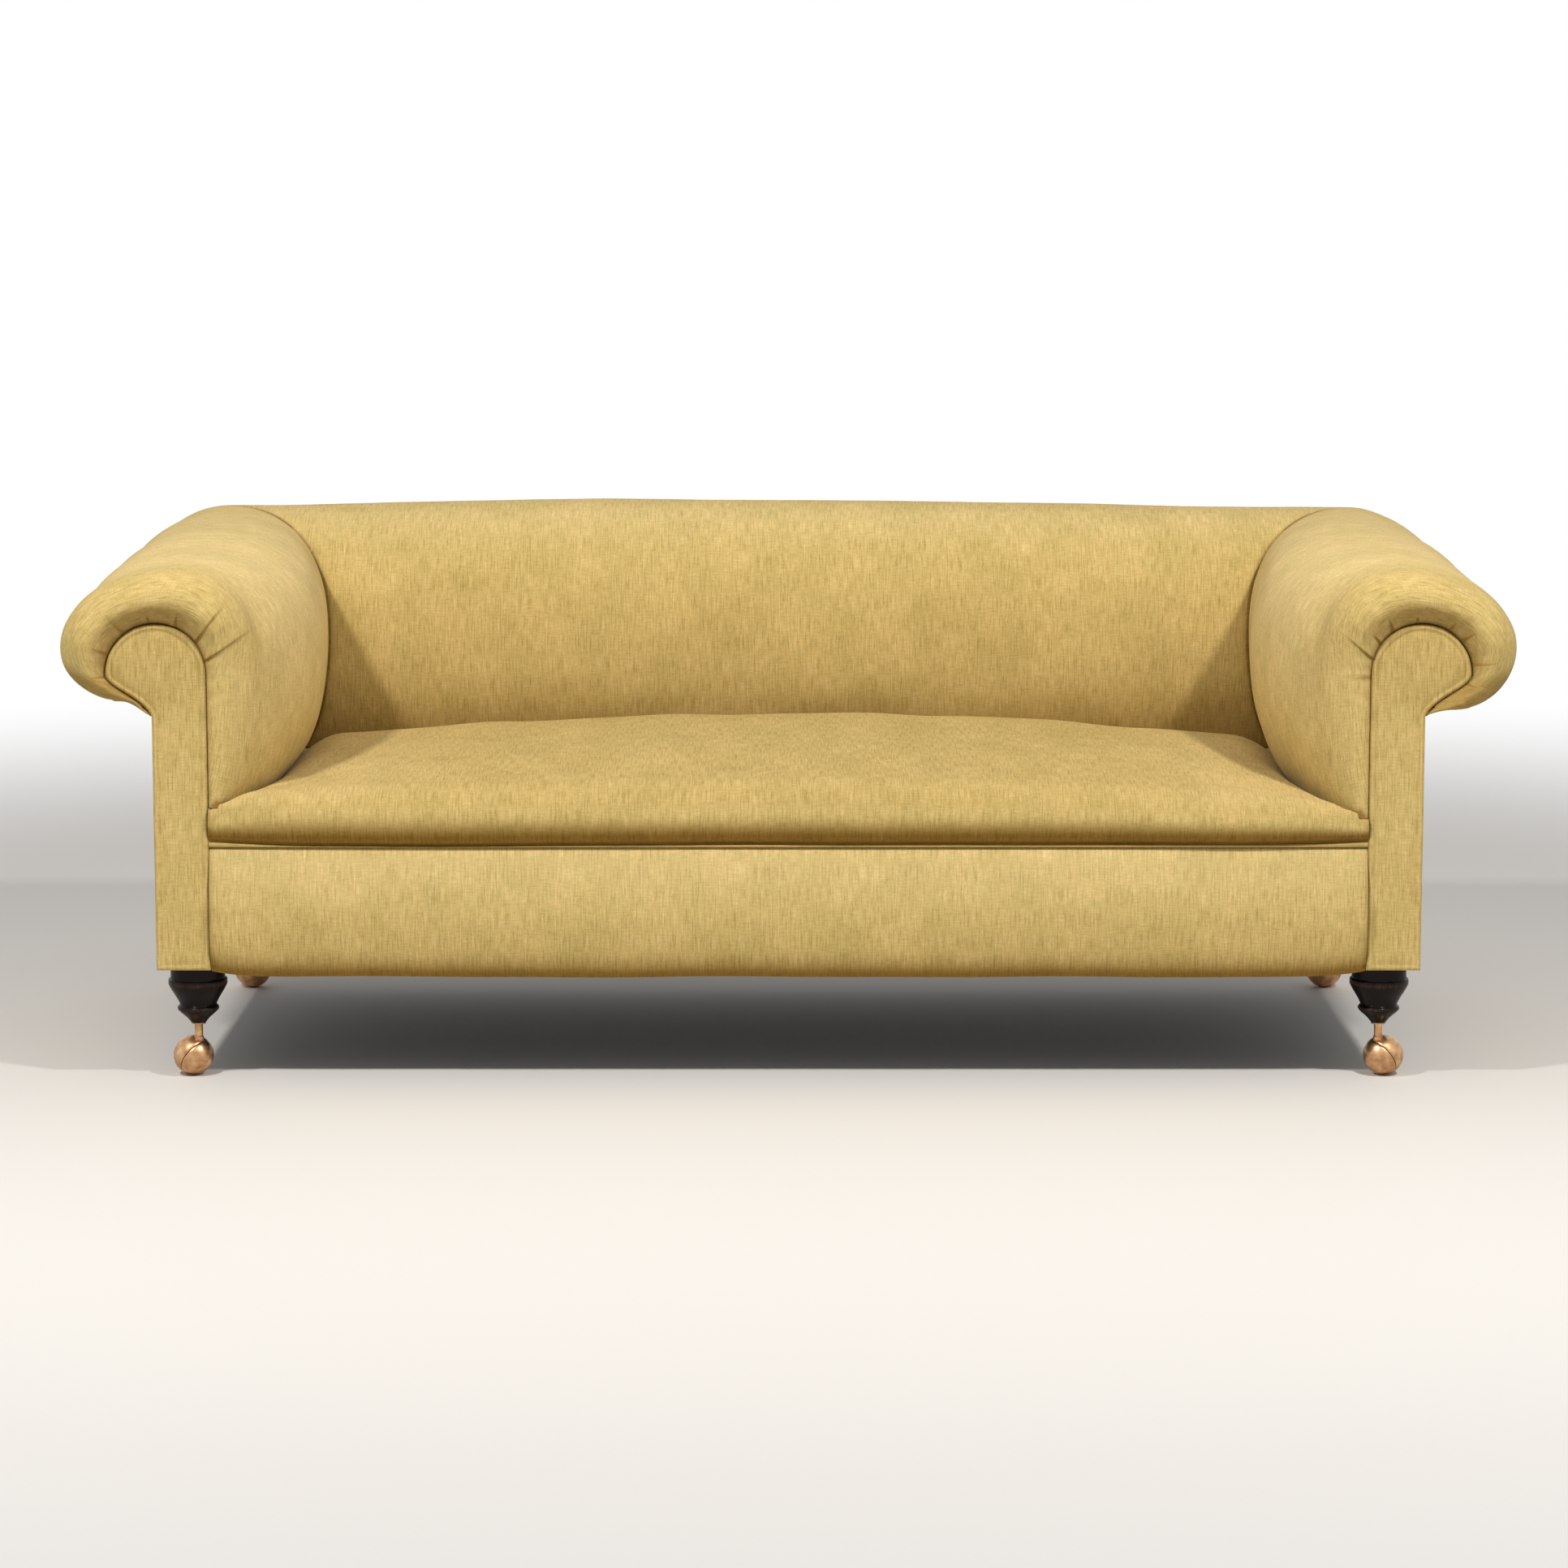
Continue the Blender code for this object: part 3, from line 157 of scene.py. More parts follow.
# Front of an arm: shares from the facing's edge to the full section, with depths where the end is
# drawn flat and where it is stuffed out
ARM_FRONT_FLAT = (
    (0.0, 0.0064), (0.03, 0.0034), (0.12, 0.0010), (0.25, 0.0015), (0.40, 0.0045),
    (0.55, 0.0110), (0.72, 0.0205), (0.87, 0.0315), (1.0, ARM_FULL_DEPTH),
)
ARM_FRONT_PUFFED = (
    (0.0, 0.0068), (0.04, 0.0024), (0.12, -0.0046), (0.22, -0.0125), (0.34, -0.0190),
    (0.48, -0.0215), (0.64, -0.0185), (0.82, -0.0080), (0.95, 0.0095), (1.0, ARM_FULL_DEPTH),
)
# How far the end is stuffed out at the arm's foot, and how much less under the roll
FOOT_PUFF = 0.12
UNDER_PUFF_LOSS = 0.45

# Pleats round each arm's end: angle on the scroll from its inner side over its top, tilt of the
# fold from the radius, length and height
PLEATS = {
    "left": (
        (14, 20, 0.096, 0.0024),
        (38, 13, 0.084, 0.0022),
        (66, 9, 0.036, 0.0018),
        (96, 0, 0.020, 0.0012),
        (128, -4, 0.042, 0.0016),
        (158, -8, 0.036, 0.0018),
        (184, -6, 0.034, 0.0022),
        (212, 0, 0.026, 0.0020),
    ),
    "right": (
        (-3, 4, 0.040, 0.0020),
        (16, 25, 0.064, 0.0024),
        (36, 12, 0.030, 0.0018),
        (56, 8, 0.034, 0.0022),
        (84, 0, 0.018, 0.0012),
        (122, -6, 0.026, 0.0018),
        (141, -6, 0.034, 0.0022),
        (170, 2, 0.050, 0.0026),
        (193, 4, 0.034, 0.0024),
        (214, 0, 0.026, 0.0020),
    ),
}
# A pleat: width of its step, reach of its upper and lower side, its start, its reach in depth, and
# the width of the painted shade along its fold
PLEAT_STEP = 0.0045
PLEAT_UPPER = 0.012
PLEAT_LOWER = 0.006
PLEAT_START = 0.008
PLEAT_DEPTH = 0.05
PLEAT_SHADE_WIDTH = 0.0018
# Height and reach of the small puckers behind the scroll, and height of an arm's upright folds
PUCKER = 0.0009
PUCKER_REACH = 0.014
FOLD = 0.0009
# Depth and reach of the dip along the arms' and the back's mitred seam, and reach of its painted shade
ARM_SEAM = 0.0040
BACK_SEAM = 0.0035
SEAM_REACH = 0.0110
SEAM_SHADE = 0.0022

# Painted shade in the cloth, from 0 to 1: reach and most of those that fade with a distance
ROOT_SHADE = (0.0035, 0.42)
COLLAR_SHADE = (0.014, 0.66)
TOUCH_SHADE = (0.0040, 0.85)
SEAT_SIDE_SHADE = (0.004, 0.60)
FACING_EDGE_SHADE = (0.0012, 0.35)
STITCH_SHADE = (0.0012, 0.18)
BORDER_END_SHADE = (0.003, 0.50)
BORDER_TOP_SHADE = (0.002, 0.50)
BORDER_FOOT_SHADE = (0.021, 0.80)
PANEL_EDGE_SHADE = (0.003, 0.35)
# Other painted shade: at the mitre inside and over the top, under the roll behind and in front, on
# the seat's nose and its top, in pleats, under the collar, at the back's foot, on a facing's head,
# low on the border and on the piping
MITRE_DARK = (0.45, 0.20)
UNDER_DARK = (0.40, 0.62)
SEAT_DARK = (0.27, 0.15)
PLEAT_DARK = 0.75
COLLAR_DARK = 0.55
BACK_FOOT_DARK = 0.42
FACING_HEAD_DARK = 0.21
BORDER_LOW_DARK = 0.22
PIPING_DARK = 0.20
# How much painted light lightens the cloth: on the arms at the mitre and away from it, and at most
# elsewhere
ARM_PAINTED_LIGHT = (0.30, 0.52)
BACK_PAINTED_LIGHT = 0.22
SEAT_PAINTED_LIGHT = 0.20
BORDER_PAINTED_LIGHT = 0.30
# Depth up to which an arm's cover counts as the root of its collar and takes the root's painted shade
ROOT_DEPTH = 0.012

# Waves of the stuffing's unevenness: height, size and seed of each
WAVES = {
    "arm_left": [(0.0022, 0.26, 2)],
    "arm_right": [(0.0022, 0.26, 4)],
    "back": [(0.0032, 0.38, 5), (0.0012, 0.15, 8)],
    "seat": [(0.0032, 0.40, 11), (0.0014, 0.19, 14)],
    "seat_front": [(0.0012, 0.40, 17)],
    "seat_nose": [(0.0025, 0.55, 19)],
    "border_edge": [(0.0010, 0.31, 21)],
    "border": [(0.0020, 0.24, 23)],
    "panel": [(0.0006, 0.30, 31)],
}

TINY = 1e-9
SAME_POINT = 1e-5
# Angles in degrees over which an edge is sharp
TURNED_SHARP = 35
SHEET_SHARP = 50
CLOTH_SHARP = 55
PIPING_SHARP = 60


# Small curves, for numbers and arrays alike


def mix(a, b, share):
    return a + (b - a) * share


def quarter(share):
    left = 1 - np.clip(share, 0.0, 1.0)
    return np.sqrt(1 - left * left)


def swell(share):
    return np.sin(np.pi / 2 * np.clip(share, 0.0, 1.0))


def ease(share):
    share = np.clip(share, 0.0, 1.0)
    return share * share * (3 - 2 * share)


def between(value, start, end):
    """Eased share of the way from start to end: 0 before it and 1 past it."""
    return ease((value - start) / (end - start))


def fading(distance, reach, most=1.0):
    return most * np.exp(-np.maximum(distance, 0) / reach)


def bell(distance, width, most=1.0):
    return most * np.exp(-((distance / width) ** 2))


def y_at(depth):
    return depth - DEPTH_MIDDLE


def x_at(side, inset):
    return side * (OUTSIDE_HALF_WIDTH - inset)


def stacked(*parts):
    """Coordinates side by side, each spread over the whole of a line or grid of points."""
    return np.stack(np.broadcast_arrays(*parts), axis=-1)


def stepped(stops, counts):
    """Numbers from stop to stop, with a count of even steps between each two."""
    runs = [np.linspace(a, b, count + 1)[1:] for a, b, count in zip(stops, stops[1:], counts)]
    return np.concatenate([stops[:1], *runs])


def smooth_line(points, count, fine_steps=24):
    """A smooth line through control points, as count points at even steps along it."""
    points = np.asarray(points, float)
    ends = np.vstack([2 * points[0] - points[1], points, 2 * points[-1] - points[-2]])
    fine = []
    for a, b, c, d in zip(ends, ends[1:], ends[2:], ends[3:]):
        t = np.linspace(0, 1, fine_steps, endpoint=False)[:, None]
        fine.append(b + 0.5 * t * (c - a + t * (2 * a - 5 * b + 4 * c - d + t * (3 * (b - c) + d - a))))
    fine = np.vstack([*fine, points[-1:]])
    along = arc_lengths(*fine.T)
    wanted = np.linspace(0, along[-1], count)
    return stacked(*(np.interp(wanted, along, column) for column in fine.T))


def arc_lengths(first, second):
    """Lengths along a line, given as its two coordinates, up to each of its points."""
    return np.concatenate([[0.0], np.cumsum(np.hypot(np.diff(first), np.diff(second)))])


def lumps(a, b, size, seed):
    """Soft uneven waves over two distances in metres, from about -1 to 1, each out of step."""
    total = 0.0
    for step in range(5):
        turn = seed * 1.7 + step * 2.4
        reach = size * (1 + 0.35 * math.sin(seed + 3.1 * step))
        slope_a = 2 * math.pi / reach * math.cos(turn)
        slope_b = 2 * math.pi / reach * math.sin(turn)
        total = total + np.sin(slope_a * a + slope_b * b + 1.3 * seed + 2.1 * step)
    return total / 3


def uneven(place, a, b):
    return sum(height * lumps(a, b, size, seed) for height, size, seed in WAVES[place])


# Meshes


def linked(name, data):
    made = bpy.data.objects.new(name, data)
    bpy.context.scene.collection.objects.link(made)
    return made


def outward_normals(points, inside):
    """Normals of a grid of points, on the side away from another grid."""
    normal = np.cross(np.gradient(points, axis=0), np.gradient(points, axis=1))
    normal /= np.maximum(np.linalg.norm(normal, axis=2, keepdims=True), TINY)
    return normal if np.sum(normal * (points - inside)) > 0 else -normal


def quads(index):
    corners = (index[:-1, :-1], index[:-1, 1:], index[1:, 1:], index[1:, :-1])
    return stacked(*corners).reshape(-1, 4)


def closed_mesh(name, outer, inner, cloth, painted_shade=0.0, painted_light=0.0):
    """A closed pad between two grids of points, with its cloth measured along the outer one, and its
    painted shade and painted light for each point.
    """
    count = outer.shape[0] * outer.shape[1]
    index = np.arange(count).reshape(outer.shape[:2])
    rim = np.concatenate([index[0, :-1], index[:-1, -1], index[-1, :0:-1], index[:0:-1, 0]])
    after = np.roll(rim, -1)
    walls = stacked(after, rim, rim + count, after + count)
    faces = np.concatenate([quads(index), quads(index + count)[:, ::-1], walls])
    points = np.concatenate([outer.reshape(-1, 3), inner.reshape(-1, 3)])
    a, b, c, d = (points[faces[:, k]] for k in range(4))
    volume = np.sum(np.cross(a, b) * c + np.cross(a, c) * d)
    if volume < 0:
        faces = faces[:, ::-1]
    mesh = bpy.data.meshes.new(name)
    mesh.from_pydata(points.tolist(), [], faces.tolist())
    mark_cloth(mesh, np.tile(cloth.reshape(-1, 2), (2, 1)))
    # Painted shade and painted light for the cloth's colour, for each point
    for layer, values in (("painted_shade", painted_shade), ("painted_light", painted_light)):
        mark(mesh, layer, np.tile(np.broadcast_to(values, outer.shape[:2]).ravel(), 2))
    return smoothed(mesh, CLOTH_SHARP)


def smoothed(mesh, sharp):
    mesh.shade_smooth()
    mesh.set_sharp_from_angle(angle=math.radians(sharp))
    return mesh


def mark_cloth(mesh, places):
    """Keeps where each point lies on its flat cloth: across the warp, along it."""
    mark(mesh, "cloth", np.pad(places, ((0, 0), (0, 1))), "FLOAT_VECTOR", "vector")


def mark(mesh, name, values, kind="FLOAT", field="value"):
    """Keeps numbers for each point, such as the painted shade and painted light of the cloth, or how worn
    the wood.
    """
    layer = mesh.attributes.new(name, kind, "POINT")
    layer.data.foreach_set(field, np.asarray(values, np.float32).ravel())


def finished(name, shell, sharp):
    bmesh.ops.recalc_face_normals(shell, faces=shell.faces)
    mesh = bpy.data.meshes.new(name)
    shell.to_mesh(mesh)
    shell.free()
    return smoothed(mesh, sharp)


def skin(shell, rings):
    """Faces between closed rings of points, from each ring to the next."""
    for first, second in zip(rings, rings[1:]):
        for step in range(len(first)):
            after = (step + 1) % len(first)
            corners = [first[step], first[after], second[after], second[step]]
            shell.faces.new(dict.fromkeys(corners))


def lathe_mesh(name, profile, sides=64):
    """A profile of (radius, height) turned about Z, from one point on the axis to another."""
    shell = bmesh.new()
    rings = []
    for radius, height in profile:
        if radius < TINY:
            rings.append([shell.verts.new((0, 0, height))] * sides)
            continue
        angles = [2 * math.pi * step / sides for step in range(sides)]
        spots = [(radius * math.cos(angle), radius * math.sin(angle), height) for angle in angles]
        rings.append([shell.verts.new(spot) for spot in spots])
    skin(shell, rings)
    return finished(name, shell, TURNED_SHARP)


def joined_mesh(name, base, steps):
    """A mesh with each (operation, tool mesh) of steps applied to it, and no doubled points left."""
    holder = linked(name, base)
    helpers = [holder]
    for operation, tool_mesh in steps:
        tool = linked(name + "_tool", tool_mesh)
        modifier = holder.modifiers.new("cut", "BOOLEAN")
        modifier.operation = operation
        modifier.solver = "EXACT"
        modifier.object = tool
        helpers.append(tool)
    graph = bpy.context.evaluated_depsgraph_get()
    graph.update()
    shell = bmesh.new()
    shell.from_object(holder, graph)
    bmesh.ops.remove_doubles(shell, verts=shell.verts, dist=SAME_POINT)
    for helper in helpers:
        bpy.data.objects.remove(helper)
    return finished(name, shell, TURNED_SHARP)


def place(name, mesh, slot, node, body="sofa"):
    """A piece of the scene that rides on a body, stands for a CAD node and takes a slot's finish."""
    piece = linked(name, mesh)
    mesh.materials.clear()
    mesh.materials.append(FINISHES[slot])
    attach(piece, body)
    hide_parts(node)
    return piece


def place_pad(name, mesh, node):
    place(name, mesh, "sage_chenille", node)


# Materials


def feed(tree, node, values):
    """Sets or links a node's inputs, by name or number."""
    for key, value in values.items():
        if isinstance(value, bpy.types.NodeSocket):
            tree.links.new(value, node.inputs[key])
        else:
            node.inputs[key].default_value = value


def add(tree, kind, values=None, **settings):
    """A shader node with settings, and values or links for its inputs."""
    made = tree.nodes.new("ShaderNode" + kind)
    for name, value in settings.items():
        setattr(made, name, value)
    feed(tree, made, values or {})
    return made


def new_material(name):
    made = bpy.data.materials.new(name)
    made.use_nodes = True
    return made, made.node_tree


def finish_material(made, values, bump=None):
    """Feeds a material's shader, with a bump of a strength, a distance in metres and a height."""
    tree = made.node_tree
    if bump:
        made_bump = add(tree, "Bump", dict(zip(("Strength", "Distance", "Height"), bump)))
        values = {**values, "Normal": made_bump.outputs["Normal"]}
    feed(tree, tree.nodes["Principled BSDF"], values)
    return made


def attribute(tree, name, output="Fac"):
    return add(tree, "Attribute", attribute_name=name).outputs[output]


def object_places(tree):
    return add(tree, "TexCoord").outputs["Object"]


def ramp(tree, factor, *stops):
    """A colour ramp of positions and colours, where a single number is a grey."""
    made = add(tree, "ValToRGB", {"Fac": factor})
    elements = made.color_ramp.elements
    while len(elements) < len(stops):
        elements.new(0.5)
    for element, (position, colour) in zip(elements, stops):
        element.position = position
        element.color = (*np.broadcast_to(colour, 3), 1.0)
    return made.outputs["Color"]


def math_node(tree, operation, a, b):
    return add(tree, "Math", {0: a, 1: b}, operation=operation).outputs[0]


def stretched_noise(tree, places, across, along, detail=2.0):
    """Noise whose spots are across wide and along long, in metres."""
    stretch = {0: places, 1: (1 / across, 1 / along, 1 / along)}
    scaled = add(tree, "VectorMath", stretch, operation="MULTIPLY").outputs[0]
    values = {"Vector": scaled, "Scale": 1.0, "Detail": detail, "Roughness": 0.55}
    return add(tree, "TexNoise", values).outputs["Fac"]


def blended(tree, blend, share, a, b):
    values = {0: share, 6: a, 7: b}
    return add(tree, "Mix", values, data_type="RGBA", blend_type=blend).outputs[2]


def multiplied(tree, a, b):
    return blended(tree, "MULTIPLY", 1.0, a, b)


WHITE = (1.0, 1.0, 1.0, 1.0)
# Colour added to the cloth as painted light where the lamps fall most
PAINTED_LIGHT_COLOUR = (0.27, 0.235, 0.165, 1.0)
# Colour that the cloth is darkened towards by its painted shade
PAINTED_SHADE_COLOUR = (0.44, 0.33, 0.155)
YARN_COLOURS = (
    (0.28, (0.510, 0.366, 0.124)),
    (0.44, (0.664, 0.490, 0.190)),
    (0.58, (0.738, 0.552, 0.232)),
    (0.74, (0.820, 0.636, 0.305)),
)
# Width across the warp and length along it of the spots of each of the cloth's patterns
SLUB = (0.0020, 0.030)
WEFT = (0.016, 0.0018)
THREAD = (0.0011, 0.0060)
SPOT = (0.010, 0.020)
PATCH = (0.07, 0.12)
EBONY = (0.0075, 0.0048, 0.0038)
RUBBED_EBONY = (0.060, 0.030, 0.016)


def chenille():
    """Sage chenille: fine slubs along the warp, a soft nap, and painted shade and painted light in its
    colour.
    """
    made, tree = new_material("sage_chenille")
    cloth = attribute(tree, "cloth", "Vector")
    slub = stretched_noise(tree, cloth, *SLUB, 3.0)
    weft = stretched_noise(tree, cloth, *WEFT)
    thread = stretched_noise(tree, cloth, *THREAD, 1.0)
    spots = stretched_noise(tree, cloth, *SPOT)
    patch = stretched_noise(tree, cloth, *PATCH)
    colour = ramp(tree, slub, *YARN_COLOURS)
    for noise, *stops in (
        (weft, (0.30, (0.86, 0.85, 0.80)), (0.60, 1.0)),
        (thread, (0.30, (0.90, 0.89, 0.85)), (0.62, 1.0)),
        (spots, (0.30, (0.88, 0.885, 0.85)), (0.66, 1.0)),
        (patch, (0.32, (0.87, 0.885, 0.83)), (0.68, 1.0)),
        # painted shade, from each point's attribute
        (attribute(tree, "painted_shade"), (0.0, 1.0), (1.0, PAINTED_SHADE_COLOUR)),
    ):
        colour = multiplied(tree, colour, ramp(tree, noise, *stops))
    values = {
        # painted light added to the colour
        "Base Color": blended(tree, "ADD", attribute(tree, "painted_light"), colour, PAINTED_LIGHT_COLOUR),
        "Roughness": 0.92,
        "Specular IOR Level": 0.05,
        "Sheen Weight": 0.07,
        "Sheen Roughness": 0.45,
        "Sheen Tint": (1.0, 0.86, 0.58, 1.0),
    }
    pile = math_node(tree, "ADD", slub, math_node(tree, "MULTIPLY", thread, 0.7))
    return finish_material(made, values, (0.35, 0.0010, pile))


def ebonised():
    """Black polished turning, with brown showing through on the proud rings."""
    made, tree = new_material("ebonised_wood")
    grain = stretched_noise(tree, object_places(tree), 0.004, 0.030, 3.0)
    worn = math_node(tree, "MULTIPLY", attribute(tree, "worn"), grain)
    values = {
        "Base Color": ramp(tree, worn, (0.20, EBONY), (0.65, RUBBED_EBONY)),
        "Roughness": ramp(tree, grain, (0.3, 0.28), (0.7, 0.42)),
        "Specular IOR Level": 0.08,
        "Coat Weight": 0.10,
        "Coat Roughness": 0.12,
    }
    return finish_material(made, values, (0.12, 0.0004, grain))


def coppered_brass():
    """Old castor metal: coppery brass with brown tarnish and brighter rubbed places."""
    made, tree = new_material("copper_brass")
    where = object_places(tree)
    tarnish = stretched_noise(tree, where, 0.013, 0.013, 4.0)
    fine = stretched_noise(tree, where, 0.0016, 0.0016)
    brown, copper, bright = (0.380, 0.200, 0.095), (0.580, 0.335, 0.170), (0.740, 0.480, 0.270)
    values = {
        "Base Color": ramp(tree, tarnish, (0.32, brown), (0.52, copper), (0.70, bright)),
        "Roughness": ramp(tree, tarnish, (0.3, 0.46), (0.7, 0.26)),
        "Metallic": 1.0,
    }
    return finish_material(made, values, (0.15, 0.0003, fine))


def timber():
    """Plain beech with short darker flecks."""
    made, tree = new_material("beech")
    where = object_places(tree)
    grain = stretched_noise(tree, where, 0.012, 0.16, 4.0)
    fleck = stretched_noise(tree, where, 0.0012, 0.007)
    colour = ramp(tree, grain, (0.35, (0.42, 0.26, 0.14)), (0.65, (0.60, 0.42, 0.25)))
    dots = ramp(tree, fleck, (0.30, (0.70, 0.62, 0.55)), (0.45, 1.0))
    values = {"Base Color": multiplied(tree, colour, dots), "Roughness": 0.62}
    return finish_material(made, values, (0.2, 0.0005, grain))


def woven(name, dark, light, pitch, roughness):
    """A plain weave: two crossed sets of threads with uneven yarn."""
    made, tree = new_material(name)
    where = object_places(tree)
    values = {"Vector": where, "Scale": 0.32 / pitch, "Distortion": 0.6, "Detail": 1.0}
    threads = [add(tree, "TexWave", values, bands_direction=way).outputs["Fac"] for way in "XY"]
    yarn = stretched_noise(tree, where, 4 * pitch, 4 * pitch)
    weave = math_node(tree, "MULTIPLY", *threads)
    height = math_node(tree, "ADD", weave, math_node(tree, "MULTIPLY", yarn, 0.5))
    values = {"Base Color": ramp(tree, height, (0.2, dark), (0.9, light)), "Roughness": roughness}
    return finish_material(made, values, (0.6, pitch / 3, height))


def spring_metal():
    made, tree = new_material("spring_steel")
    rust = stretched_noise(tree, object_places(tree), 0.012, 0.012, 3.0)
    values = {
        "Base Color": ramp(tree, rust, (0.4, (0.46, 0.36, 0.28)), (0.7, (0.62, 0.55, 0.48))),
        "Roughness": ramp(tree, rust, (0.3, 0.55), (0.7, 0.32)),
        "Metallic": 1.0,
    }
    return finish_material(made, values)


# Finishes by the record's material slots
FINISHES = {
    "sage_chenille": chenille(),
    "beech": timber(),
    "ebonised_wood": ebonised(),
    "copper_brass": coppered_brass(),
    "jute_webbing": woven("jute_webbing", (0.20, 0.12, 0.05), (0.50, 0.35, 0.18), 0.0024, 0.9),
    "spring_steel": spring_metal(),
    "hessian": woven("hessian", (0.16, 0.10, 0.05), (0.46, 0.34, 0.20), 0.0018, 0.95),
    "black_cambric": woven("black_cambric", (0.008, 0.008, 0.009), (0.035, 0.034, 0.034), 0.0008, 0.9),
}


# Rolled section

FOOT_SWING = math.cos(BOTTOM_SWEEP)
FOOT_FALL = (BULGE_HEIGHT - PAD_BOTTOM) / math.sin(BOTTOM_SWEEP)
# Handles of the curl under a scroll's head, as shares of its radius and of its drop
CURL_REACH = 0.3
CURL_DROPS = (0.0, 0.33, 0.5, 1.0)


def foot_centre(bottom, bulge):
    """Inset about which the curve from a pad's foot up to its bulge turns."""
    return bottom - (bulge - bottom) * FOOT_SWING / (1 - FOOT_SWING)


def section(steps, bottom, bulge, top):
    """Insets and heights of the rolled section, one row for each set of sizes."""
    sizes = np.broadcast_arrays(*(np.atleast_1d(size).astype(float) for size in (bottom, bulge, top)))
    bottom, bulge, top = (size[:, None] for size in sizes)
    foot = BOTTOM_SWEEP * (1 - np.arange(steps[0]) / steps[0])
    over, crest, under = (np.pi / 2 * np.arange(count) / count for count in steps[1:-1])
    lip = np.arange(steps[-1] + 1) / steps[-1]
    centre = foot_centre(bottom, bulge)
    fullness = 2 / ROLL_POWER
    insets = (
        centre + (bulge - centre) * np.cos(foot),
        TOP_INSET + (bulge - TOP_INSET) * np.cos(over) ** fullness,
        TOP_INSET - (TOP_INSET + ROLL_OVERHANG) * np.sin(crest),
        UNDER_INSET - (UNDER_INSET + ROLL_OVERHANG) * np.cos(under),
        mix(UNDER_INSET, LIP_INSET, lip),
    )
    heights = (
        BULGE_HEIGHT - FOOT_FALL * np.sin(foot),
        BULGE_HEIGHT + (top - BULGE_HEIGHT) * np.sin(over) ** fullness,
        ROLL_MID_HEIGHT + (top - ROLL_MID_HEIGHT) * np.cos(crest),
        ROLL_MID_HEIGHT - (ROLL_MID_HEIGHT - UNDER_HEIGHT) * np.sin(under),
        mix(UNDER_HEIGHT, LIP_HEIGHT, lip**2),
    )
    rows = len(bottom)
    insets, heights = (
        [np.broadcast_to(part, (rows, part.shape[-1])) for part in line] for line in (insets, heights)
    )
    return np.hstack(insets), np.hstack(heights)


def curl(radius, drop, stem_inset, share):
    """The curl under a scroll's head, from its outermost point in to the stem."""
    outermost = HEAD_INSET - radius
    insets = (outermost, outermost, HEAD_INSET - CURL_REACH * radius, stem_inset)
    heights = [HEAD_HEIGHT - part * drop for part in CURL_DROPS]
    left = 1 - share
    weights = (left**3, 3 * left * left * share, 3 * left * share * share, share**3)
    return tuple(sum(w * p for w, p in zip(weights, line)) for line in (insets, heights))


def scroll(steps, radius, drop, stem_in, stem_out, reach, end):
    """A scroll's outline with one point for each point of the rolled section."""
    inner, over, crest, under, lip = steps
    wall = np.arange(inner) / inner
    angle = np.concatenate([np.arange(over) / over, 1 + np.arange(crest) / crest]) * np.pi / 2
    under_insets, under_heights = curl(radius, drop, stem_out, reach * np.arange(under) / under)
    last = curl(radius, drop, stem_out, reach)
    share = np.arange(lip + 1) / lip
    insets = [np.full(inner, stem_in), HEAD_INSET + radius * np.cos(angle), under_insets]
    heights = [mix(PAD_BOTTOM, HEAD_HEIGHT, wall), HEAD_HEIGHT + radius * np.sin(angle), under_heights]
    insets.append(mix(last[0], end[0], share))
    heights.append(mix(last[1], end[1], share))
    return np.concatenate(insets), np.concatenate(heights)


def core(steps):
    """The hollow inside a pad, round the timber that carries it."""
    end = (LIP_INSET, LIP_HEIGHT + LIP_THICKNESS)
    radius = CORE_RADIUS + GAP / 2
    return scroll(steps, radius, CORE_DROP + GAP / 2, CORE_INSET, LIP_INSET, CORE_CURL_SHARE, end)


def facing_edge(steps):
    """Where an arm's cover comes out round the facing, tucked in under it at the end."""
    radius = FACING_RADIUS + GAP
    drop = FACING_DROP + GAP
    end = curl(radius, drop, 0.0, FACING_CURL_SHARE)
    tucked = (end[0] - GAP, end[1] - TUCK)
    return scroll(steps, radius, drop, FACING_INSET + GAP, 0.0, FACING_CURL_SHARE, tucked)


def bottom_inset(depth):
    return mix(FACING_INSET, BOTTOM_INSET, quarter(depth / BOTTOM_RUN))


def arm_sizes(depth, end_top):
    """Bottom, bulge and top of an arm's section at depths up to its mitre with the back."""
    end = OUTSIDE_DEPTH - BACK_BULGE_INSET
    fill = mix(FACING_INSET, ARM_BULGE_INSET, quarter(depth / BULGE_RUN))
    bulge = mix(fill, BACK_BULGE_INSET, between(depth, ARM_LEVEL_RUN, end))
    top = mix(ARM_TOP, end_top, swell(depth / end))
    return bottom_inset(depth), bulge, top


def rounded_corner(x, depth):
    """Draws the mitred back corners in, so that the rolls turn in a curve."""
    out = np.abs(x) - (OUTSIDE_HALF_WIDTH - LIP_INSET)
    back = depth - (OUTSIDE_DEPTH - LIP_INSET)
    inside = (out <= 0) | (back <= 0)
    most = np.maximum(np.maximum(out, back), TINY)
    total = np.maximum((out / most) ** 2 + (back / most) ** 2, TINY)
    shrink = np.where(inside, 1.0, total**-0.5)
    return x - np.sign(x) * out * (1 - shrink), depth - back * (1 - shrink)


def along_line(start, corner, end, share):
    """Places along lines of a pad: the straight run up to the round corner, then the corner."""
    knee = np.minimum(corner, end - LINE_LAST)
    first = mix(start, knee, share / LINE_KNEE)
    second = mix(knee, end, (share - LINE_KNEE) / (1 - LINE_KNEE))
    return np.where(share <= LINE_KNEE, first, second)


def pad_points(x, depth, height):
    x, depth = rounded_corner(x, depth)
    return stacked(x, y_at(depth), height)


# Arms and back


def settled(x, depth):
    """Share of the right end's settling at a place on the seat."""
    return between(x, 0.25, 0.70) * between(depth, 0.50, 0.25)


